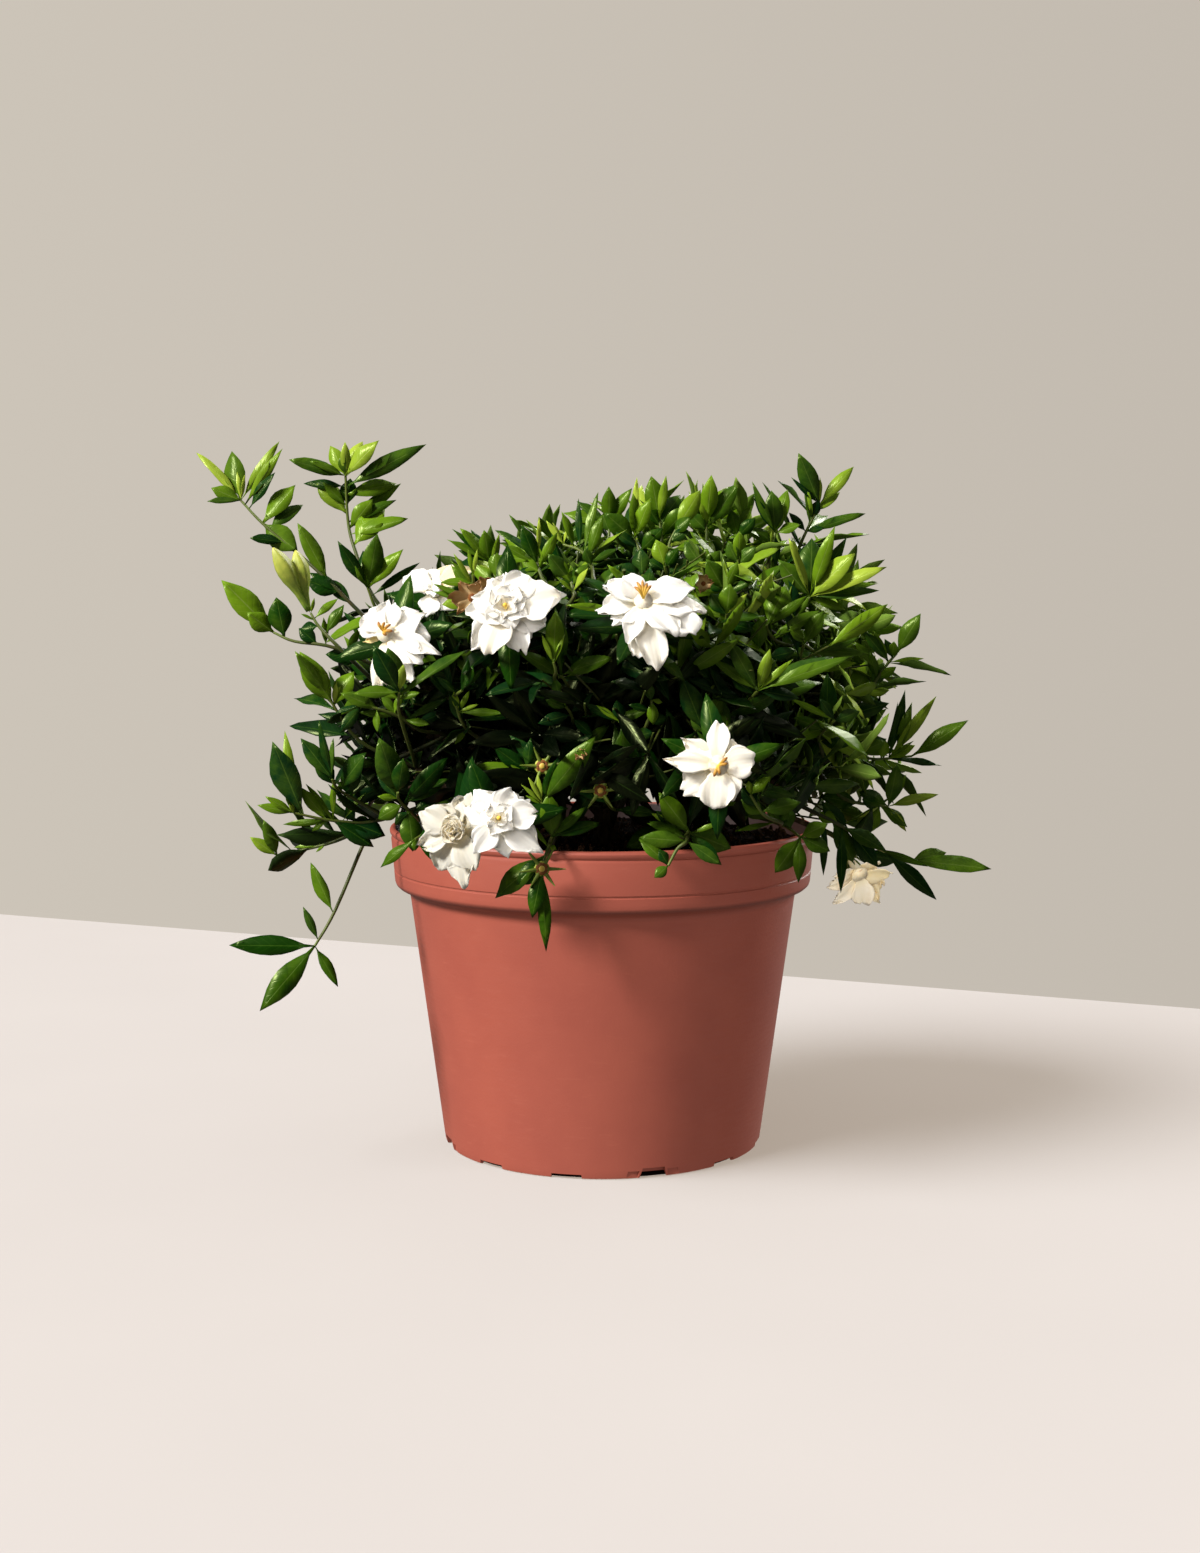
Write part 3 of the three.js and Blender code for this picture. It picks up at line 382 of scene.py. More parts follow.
POT_PLASTIC = pot_plastic()
POTTING_SOIL = potting_soil()
BARK_CHIPS = bark_chips()
BARK = bark()
LEAF = leaf_green()
GREEN_STEM = green_stem()
PETAL = petal_white()
STAMEN = plain_tinted("stamen", srgb(240, 200, 80), srgb(150, 84, 30))
PISTIL = plain_tinted("pistil", srgb(250, 226, 120), srgb(240, 196, 70))
BUD_SKIN = plain_tinted("bud", srgb(120, 158, 44), srgb(226, 226, 96), 0.45)
DRY_PETAL = plain_tinted("dry petal", srgb(236, 212, 158), srgb(186, 138, 84), 0.8)
SPENT_RING = plain_tinted("spent ring", srgb(190, 120, 46), srgb(120, 66, 26), 0.7)
print("finishes:", len(bpy.data.materials))

# %% [markdown]
# ## The pot
# A nursery pot is a turned shape: one outline from the pad under the floor, out to the foot ring, up the
# wall, over the rolled lip and down the inside. Rounded corners in the outline catch the light as moulded
# plastic does. The notches and slits of the foot ring and the drain holes are then cut out.

# %% Outline and turning
POT_STEPS = 144  # steps round the pot
POT_FOOT_RADIUS = 76.6
POT_OUTSIDE = [
    (75.2, 0), (76.3, 0.3), (76.6, 1.2), (77.1, 4.4), (92.3, 118), (92.7, 120.5), (93.6, 122.2),
    (95.0, 123.2), (98.2, 124.6), (99.3, 125.6), (99.8, 127), (100.0, 129), (100.2, 131.6), (99.8, 132.0),
    (99.8, 132.5), (100.3, 133.0), (101.5, 147.2), (101.3, 148.2), (100.9, 148.6), (100.9, 149.0),
    (101.5, 149.5), (102.0, 150.2), (102.2, 151.3), (101.8, 152.3), (101.0, 152.7),
]
POT_INSIDE = [
    (100.2, 152.7), (99.5, 152.3), (99.2, 151.4), (98.1, 129.2), (97.2, 127.2), (92.0, 124.8), (91.1, 122),
    (75.4, 6.2), (74.6, 4.9), (73.2, 4.5),
]
POT_UNDER = [(22, 0), (22, 2), (74.4, 2), (74.4, 0)]


def turned_mesh(name, profile, steps):
    """A closed mesh turned round the Z axis from (radius, z) pairs in millimetres, pole to pole."""
    mesh = bmesh.new()
    rings = []
    for radius, z in profile:
        if radius == 0:
            rings.append([mesh.verts.new(spot(0, 0, z))] * steps)
            continue
        turns = [2 * math.pi * step / steps for step in range(steps)]
        rings.append([mesh.verts.new(spot(radius * math.cos(turn), radius * math.sin(turn), z))
                      for turn in turns])
    for near, far in zip(rings, rings[1:]):
        for step in range(steps):
            after = (step + 1) % steps
            corners = [near[step], near[after], far[after], far[step]]
            mesh.faces.new(list(dict.fromkeys(corners)))
    data = bpy.data.meshes.new(name)
    mesh.to_mesh(data)
    mesh.free()
    return data


def cut(piece, cutters):
    """Cuts a mesh out of a piece and settles the result."""
    tool = new_piece("cutters", cutters)
    modifier = piece.modifiers.new("cut", "BOOLEAN")
    modifier.object = tool
    modifier.operation = "DIFFERENCE"
    modifier.solver = "EXACT"
    settle(piece)
    bpy.data.objects.remove(tool)


# %% [markdown]
# The foot ring has four tall notches, wider at the bottom, with a shallow panel pressed in on each side of
# them, and two thin slits between each two notches. Six drain holes pierce the floor.

# %% Notches, slits, panels and drain holes
FOOT_GAPS = 12
TALL_GAP_ANGLE = 17.5  # degrees from the front towards +X
NOTCH = [(-7, -1), (7, -1), (5.2, 4.8), (-5.2, 4.8)]
SLIT = [(-7.4, -1), (7.4, -1), (7.0, 2.1), (-7.0, 2.1)]
PANEL_DEPTH = 1.2
DRAIN_HOLES = 6
DRAIN_RING_RADIUS = 52
DRAIN_HOLE_RADIUS = 4.5


def add_prism(mesh, corners, near, far):
    """Adds a prism to a mesh: its section is (x, z) corners, it runs from one depth in y to another."""
    ends = [[mesh.verts.new(spot(x, depth, z)) for x, z in corners] for depth in (near, far)]
    mesh.faces.new(ends[0])
    mesh.faces.new(ends[1][::-1])
    for index in range(len(corners)):
        after = (index + 1) % len(corners)
        mesh.faces.new([ends[0][index], ends[1][index], ends[1][after], ends[0][after]])
    return ends[0] + ends[1]


def foot_cutters():
    mesh = bmesh.new()
    for index in range(FOOT_GAPS):
        turn = Matrix.Rotation(math.radians(TALL_GAP_ANGLE + 360 * index / FOOT_GAPS), 4, "Z")
        outer, inner = -POT_FOOT_RADIUS - 4, -POT_FOOT_RADIUS + 4
        if index % 3 == 0:
            corners = add_prism(mesh, NOTCH, outer, inner)
            for side in (-1, 1):
                panel = [(side * 7.6, -1), (side * 13, -1), (side * 12, 3.6), (side * 6.6, 3.6)][::side]
                corners += add_prism(mesh, panel, outer, -POT_FOOT_RADIUS + PANEL_DEPTH)
        else:
            corners = add_prism(mesh, SLIT, outer, inner)
        for corner in corners:
            corner.co = turn @ corner.co
    for index in range(DRAIN_HOLES):
        turn = Matrix.Rotation(math.radians(360 / DRAIN_HOLES * (index + 0.5)), 4, "Z")
        middle = turn @ Matrix.Translation(spot(DRAIN_RING_RADIUS, 0, 3))
        bmesh.ops.create_cone(mesh, cap_ends=True, segments=24, radius1=DRAIN_HOLE_RADIUS * MM,
                              radius2=DRAIN_HOLE_RADIUS * MM, depth=12 * MM, matrix=middle)
    bmesh.ops.recalc_face_normals(mesh, faces=mesh.faces)
    data = bpy.data.meshes.new("foot cutters")
    mesh.to_mesh(data)
    mesh.free()
    return data


def shade_smooth(piece, angle=30):
    """Smooth shading, but for edges sharper than the angle."""
    mesh = bmesh.new()
    mesh.from_mesh(piece.data)
    bmesh.ops.remove_doubles(mesh, verts=mesh.verts, dist=1e-6)
    for face in mesh.faces:
        face.smooth = True
    for edge in mesh.edges:
        edge.smooth = edge.calc_face_angle(math.pi) < math.radians(angle)
    mesh.to_mesh(piece.data)
    mesh.free()


pot_profile = [(0, 0), *POT_UNDER, *POT_OUTSIDE, *POT_INSIDE, (0, 4.5)]
pot = new_piece("nursery_pot", turned_mesh("nursery pot", pot_profile, POT_STEPS))
cut(pot, foot_cutters())
shade_smooth(pot)
pot.data.materials.clear()
pot.data.materials.append(POT_PLASTIC)
hand_over(pot, "pot_plastic", "pot")
print("pot:", len(pot.data.polygons), "faces")

# %% [markdown]
# ## The soil
# The soil fills the pot to a finger's width below its rim. Its body is turned like the pot, then its top is
# roughened with noise. Bits of bark lie on it: they are scattered by Geometry Nodes, which picks the places
# on the top, turns each bit at random and makes them one mesh.

# %% Soil body
SOIL_TOP = 144
CRUMB_HEIGHT = 1.3
MOUND_HEIGHT = 1.6
soil_profile = [(0, 4.9), (73.2, 4.9), (90.6, 121.9), (91.6, 125.2), (96.9, 127.8), (98.3, 143.4)]
soil_profile += [(radius, SOIL_TOP) for radius in range(96, 0, -4)] + [(0, SOIL_TOP)]
soil = new_piece("soil_body", turned_mesh("soil body", soil_profile, 96))
for corner in soil.data.vertices:
    if corner.co.z > (SOIL_TOP - 0.4) * MM:
        crumbs = noise.fractal(corner.co * 90, 0.6, 2.0, 4)
        mound = noise.noise(corner.co * 24)
        corner.co.z += (CRUMB_HEIGHT * crumbs + MOUND_HEIGHT * mound) * MM
shade_smooth(soil, 60)
soil.data.materials.append(POTTING_SOIL)


# %% [markdown]
# A tree of Geometry Nodes begins with its named inputs. A modifier gets their values by the identifier of
# each socket, before the tree is first worked out.

# %% Trees with named inputs
SOCKETS = {float: "NodeSocketFloat", int: "NodeSocketInt", bpy.types.Material: "NodeSocketMaterial"}


def new_tree(name, sizes):
    """A geometry tree with a geometry input and output and one input for each (name, kind) pair."""
    tree = bpy.data.node_groups.new(name, "GeometryNodeTree")
    tree.interface.new_socket("Geometry", in_out="INPUT", socket_type="NodeSocketGeometry")
    tree.interface.new_socket("Geometry", in_out="OUTPUT", socket_type="NodeSocketGeometry")
    for label, kind in sizes:
        tree.interface.new_socket(label, in_out="INPUT", socket_type=SOCKETS[kind])
    nodes = Nodes(tree)
    entry = tree.nodes.new("NodeGroupInput").outputs
    return tree, nodes, entry


def close_tree(nodes, geometry):
    nodes.tree.links.new(geometry, nodes.tree.nodes.new("NodeGroupOutput").inputs[0])


def grow(piece, tree, **sizes):
    """Runs a tree on a piece with its inputs set by name, and settles the result."""
    modifier = piece.modifiers.new(tree.name, "NODES")
    modifier.node_group = tree
    for item in tree.interface.items_tree:
        key = item.name.replace(" ", "_").lower()
        if item.in_out == "INPUT" and key in sizes:
            modifier[item.identifier] = sizes[key]
    return settle(piece)


# %% Bark bits strewn over the soil
def strewn_tree():
    sizes = [("Bits Each Metre", float), ("Bit Size", float), ("Seed", int),
             ("Bit Material", bpy.types.Material)]
    tree, nodes, entry = new_tree("strewn bark", sizes)
    top = nodes.math("GREATER_THAN", nodes.split(nodes.add("GeometryNodeInputNormal"))[2], 0.6)
    inputs = {"Mesh": entry["Geometry"], "Selection": top, "Density": entry["Bits Each Metre"],
              "Seed": entry["Seed"]}
    places = nodes.add("GeometryNodeDistributePointsOnFaces", inputs)
    bit = nodes.add("GeometryNodeMeshIcoSphere", {"Radius": 1.0, "Subdivisions": 1})
    turn = nodes.add("FunctionNodeRandomValue", {"Max": (6.3, 6.3, 6.3), "Seed": entry["Seed"]},
                     data_type="FLOAT_VECTOR")
    inputs = {"Min": (0.5, 0.3, 0.15), "Max": (1.6, 0.9, 0.5), "Seed": entry["Seed"]}
    form = nodes.add("FunctionNodeRandomValue", inputs, data_type="FLOAT_VECTOR")
    inputs = {"Points": places, "Instance": bit, "Scale": nodes.scaled(form, entry["Bit Size"]),
              "Rotation": nodes.add("FunctionNodeEulerToRotation", {0: turn})}
    bits = nodes.add("GeometryNodeInstanceOnPoints", inputs)
    bits = nodes.add("GeometryNodeRealizeInstances", {0: bits})
    bits = nodes.add("GeometryNodeSetMaterial", {"Geometry": bits, "Material": entry["Bit Material"]})
    close_tree(nodes, bits)
    return tree


bits = new_piece("soil_bits", soil.data.copy())
grow(bits, strewn_tree(), bits_each_metre=26000.0, bit_size=2.6 * MM, seed=4, bit_material=BARK_CHIPS)
print("soil:", len(soil.data.polygons), "faces, bark bits:", len(bits.data.polygons), "faces")

# %% [markdown]
# The body and the bark bits are one piece of the object, so they are joined.

# %% Join the bits to the soil
def join(piece, *others):
    """Joins other objects into the piece, with their materials and attributes."""
    together = [piece, *others]
    with bpy.context.temp_override(active_object=piece, object=piece, selected_objects=together,
                                   selected_editable_objects=together):
        bpy.ops.object.join()
    return piece


join(soil, bits)
hand_over(soil, "potting_soil", "soil")

# %% [markdown]
# ## Stems and leaves
# Everything green, and the wood too, is lines and leaves. A line is a stem with a thickness at each of its
# points. A leaf is one point that knows how the leaf is turned, how wide and long it is, which way its upper
# face looks, how much it droops and how pale it is, for its youth and for painted light. `Growth` gathers
# them for one piece.

# %% Growth: the lines and leaves of one piece
class Growth:
    def __init__(self):
        self.points = []
        self.edges = []
        self.facts = {"leaf": [], "thickness": [], "shade": [], "curl": [], "turn": [], "size": [],
                      "facing": [], "tint": []}

    def add_point(self, place, leaf=False, thickness=0.0, shade=0.0, curl=0.0, turn=(0, 0, 0),
                  size=(0, 0, 0), facing=(0, 0, 0)):
        self.points.append(place)
        row = dict(leaf=leaf, thickness=thickness, shade=shade, curl=curl, turn=turn, size=size,
                   facing=facing, tint=noise.noise(place * 240))
        for name, value in row.items():
            self.facts[name].append(value)

    def add_stem(self, line, radii, shades):
        """A stem along a line: its radius in metres and its youth run from the first to the last value."""
        for index, place in enumerate(line):
            share = index / (len(line) - 1)
            if index:
                self.edges.append((len(self.points) - 1, len(self.points)))
            self.add_point(place, thickness=blend(*radii, share), shade=blend(*shades, share))

    def add_leaf(self, foot, tip, upward, width, shade, curl):
        along = (tip - foot).normalized()
        facing = (upward - along * upward.dot(along)).normalized()
        turn = Matrix((along.cross(facing), along, facing)).transposed().to_euler()
        length = (tip - foot).length
        self.add_point(foot, leaf=True, shade=shade, curl=curl, turn=turn, size=(width, length, length),
                       facing=facing)

    def mesh(self, name):
        kinds = {"leaf": "BOOLEAN", "thickness": "FLOAT", "shade": "FLOAT", "curl": "FLOAT", "tint": "FLOAT"}
        mesh = bpy.data.meshes.new(name)
        mesh.from_pydata(self.points, self.edges, [])
        for fact, values in self.facts.items():
            kind = kinds.get(fact, "FLOAT_VECTOR")
            layer = mesh.attributes.new(fact, kind, "POINT")
            if kind == "FLOAT_VECTOR":
                layer.data.foreach_set("vector", [number for value in values for number in value])
            else:
                layer.data.foreach_set("value", values)
        return mesh


# %% [markdown]
# One tree turns a growth into a mesh. Each line becomes a tube: a circle swept along it, scaled by its
# thickness, with closed ends. Each leaf point gets a copy of one blade. The blade starts as a six-sided
# tube. A curve gives its half width along its length, so that it runs out to a point, and its rim is raised
# a little, so that it folds along the midrib. After the copies are made real, each droops by its own amount.

# %% The blade of a leaf
BLADE_SIDES = 6
BLADE_STEPS = 8
BLADE_WIDTHS = [(0.0, 0.07), (0.08, 0.12), (0.25, 0.58), (0.42, 0.93), (0.53, 1.0), (0.72, 0.8), (0.87, 0.4),
                (0.95, 0.14), (1.0, 0.0)]


def leaf_blade(nodes, thickness, fold):
    """A leaf of length 1 along Y and width 1 along X, its upper face to +Z."""
    inputs = {"Vertices": BLADE_SIDES, "Side Segments": BLADE_STEPS, "Radius": 1.0, "Depth": 1.0}
    tube = nodes.add("GeometryNodeMeshCylinder", inputs)
    face, across, height = nodes.split(nodes.add("GeometryNodeInputPosition"))
    across = nodes.math("DIVIDE", across, math.sin(math.pi / 3))
    along = nodes.math("ADD", height, 0.5)
    blade = nodes.add("ShaderNodeCombineXYZ", {0: across, 1: along, 2: face})
    tube = nodes.add("GeometryNodeStoreNamedAttribute", {"Geometry": tube, "Name": "blade", "Value": blade},
                     data_type="FLOAT_VECTOR")
    blade = nodes.add("GeometryNodeInputNamedAttribute", {"Name": "blade"}, data_type="FLOAT_VECTOR")
    across, along, face = nodes.split(blade)
    width = nodes.curve(along, BLADE_WIDTHS)
    side = nodes.math("MULTIPLY", nodes.math("MULTIPLY", across, width), 0.5)
    body = nodes.math("MULTIPLY", nodes.math("MULTIPLY", face, thickness), nodes.math("SQRT", width))
    rim = nodes.math("MULTIPLY", nodes.math("MULTIPLY", nodes.math("ABSOLUTE", across), width), fold)
    position = nodes.add("ShaderNodeCombineXYZ", {0: side, 1: along, 2: nodes.math("ADD", body, rim)})
    leaf = nodes.add("GeometryNodeSetPosition", {"Geometry": tube, "Position": position})
    return nodes.add("GeometryNodeMergeByDistance", {"Geometry": leaf, "Distance": 0.0005})


# %% The tree for stems and leaves
def shoots_tree():
    sizes = [("Stem Sides", int), ("Leaf Thickness", float), ("Leaf Fold", float), ("Leaf Wave", float),
             ("Stem Material", bpy.types.Material), ("Leaf Material", bpy.types.Material)]
    tree, nodes, entry = new_tree("stems and leaves", sizes)

    def named(name, kind="FLOAT"):
        return nodes.add("GeometryNodeInputNamedAttribute", {"Name": name}, data_type=kind)

    inputs = {"Geometry": entry["Geometry"], "Selection": named("leaf", "BOOLEAN")}
    feet = nodes.add("GeometryNodeSeparateGeometry", inputs)
    line = nodes.add("GeometryNodeMeshToCurve", {0: feet.node.outputs[1]})
    ring = nodes.add("GeometryNodeCurvePrimitiveCircle", {"Resolution": entry["Stem Sides"], "Radius": 1.0})
    inputs = {"Curve": line, "Profile Curve": ring, "Scale": named("thickness"), "Fill Caps": True}
    tubes = nodes.add("GeometryNodeCurveToMesh", inputs)
    tubes = nodes.add("GeometryNodeSetMaterial", {"Geometry": tubes, "Material": entry["Stem Material"]})
    inputs = {"Points": feet, "Instance": leaf_blade(nodes, entry["Leaf Thickness"], entry["Leaf Fold"]),
              "Rotation": nodes.add("FunctionNodeEulerToRotation", {0: named("turn", "FLOAT_VECTOR")}),
              "Scale": named("size", "FLOAT_VECTOR")}
    leaves = nodes.add("GeometryNodeInstanceOnPoints", inputs)
    leaves = nodes.add("GeometryNodeRealizeInstances", {0: leaves})
    across, along, face = nodes.split(named("blade", "FLOAT_VECTOR"))
    length = nodes.split(named("size", "FLOAT_VECTOR"))[1]
    droop = nodes.math("MULTIPLY", named("curl"), nodes.math("POWER", along, 2.0))
    wave = nodes.math("SINE", nodes.math("ADD", nodes.math("MULTIPLY", along, 11.0),
                                         nodes.math("MULTIPLY", named("curl"), 60.0)))
    wave = nodes.math("MULTIPLY", nodes.math("MULTIPLY", wave, across), entry["Leaf Wave"])
    sway = nodes.math("MULTIPLY", nodes.math("SUBTRACT", wave, droop), length)
    inputs = {"Geometry": leaves, "Offset": nodes.scaled(named("facing", "FLOAT_VECTOR"), sway)}
    leaves = nodes.add("GeometryNodeSetPosition", inputs)
    leaves = nodes.add("GeometryNodeSetMaterial", {"Geometry": leaves, "Material": entry["Leaf Material"]})
    both = nodes.add("GeometryNodeJoinGeometry")
    for part in (leaves, tubes):
        nodes.tree.links.new(part, both.node.inputs[0])
    close_tree(nodes, nodes.add("GeometryNodeSetShadeSmooth", {"Geometry": both}))
    return tree


LEAFY_TREE = shoots_tree()


def grow_piece(name, growth, stem_material=GREEN_STEM, sides=6):
    """A piece from its growth. A leaf's thickness, fold and wave are shares of its length."""
    piece = new_piece(name, growth.mesh(name))
    return grow(piece, LEAFY_TREE, stem_sides=sides, leaf_thickness=0.011, leaf_fold=0.055, leaf_wave=0.02,
                stem_material=stem_material, leaf_material=LEAF)
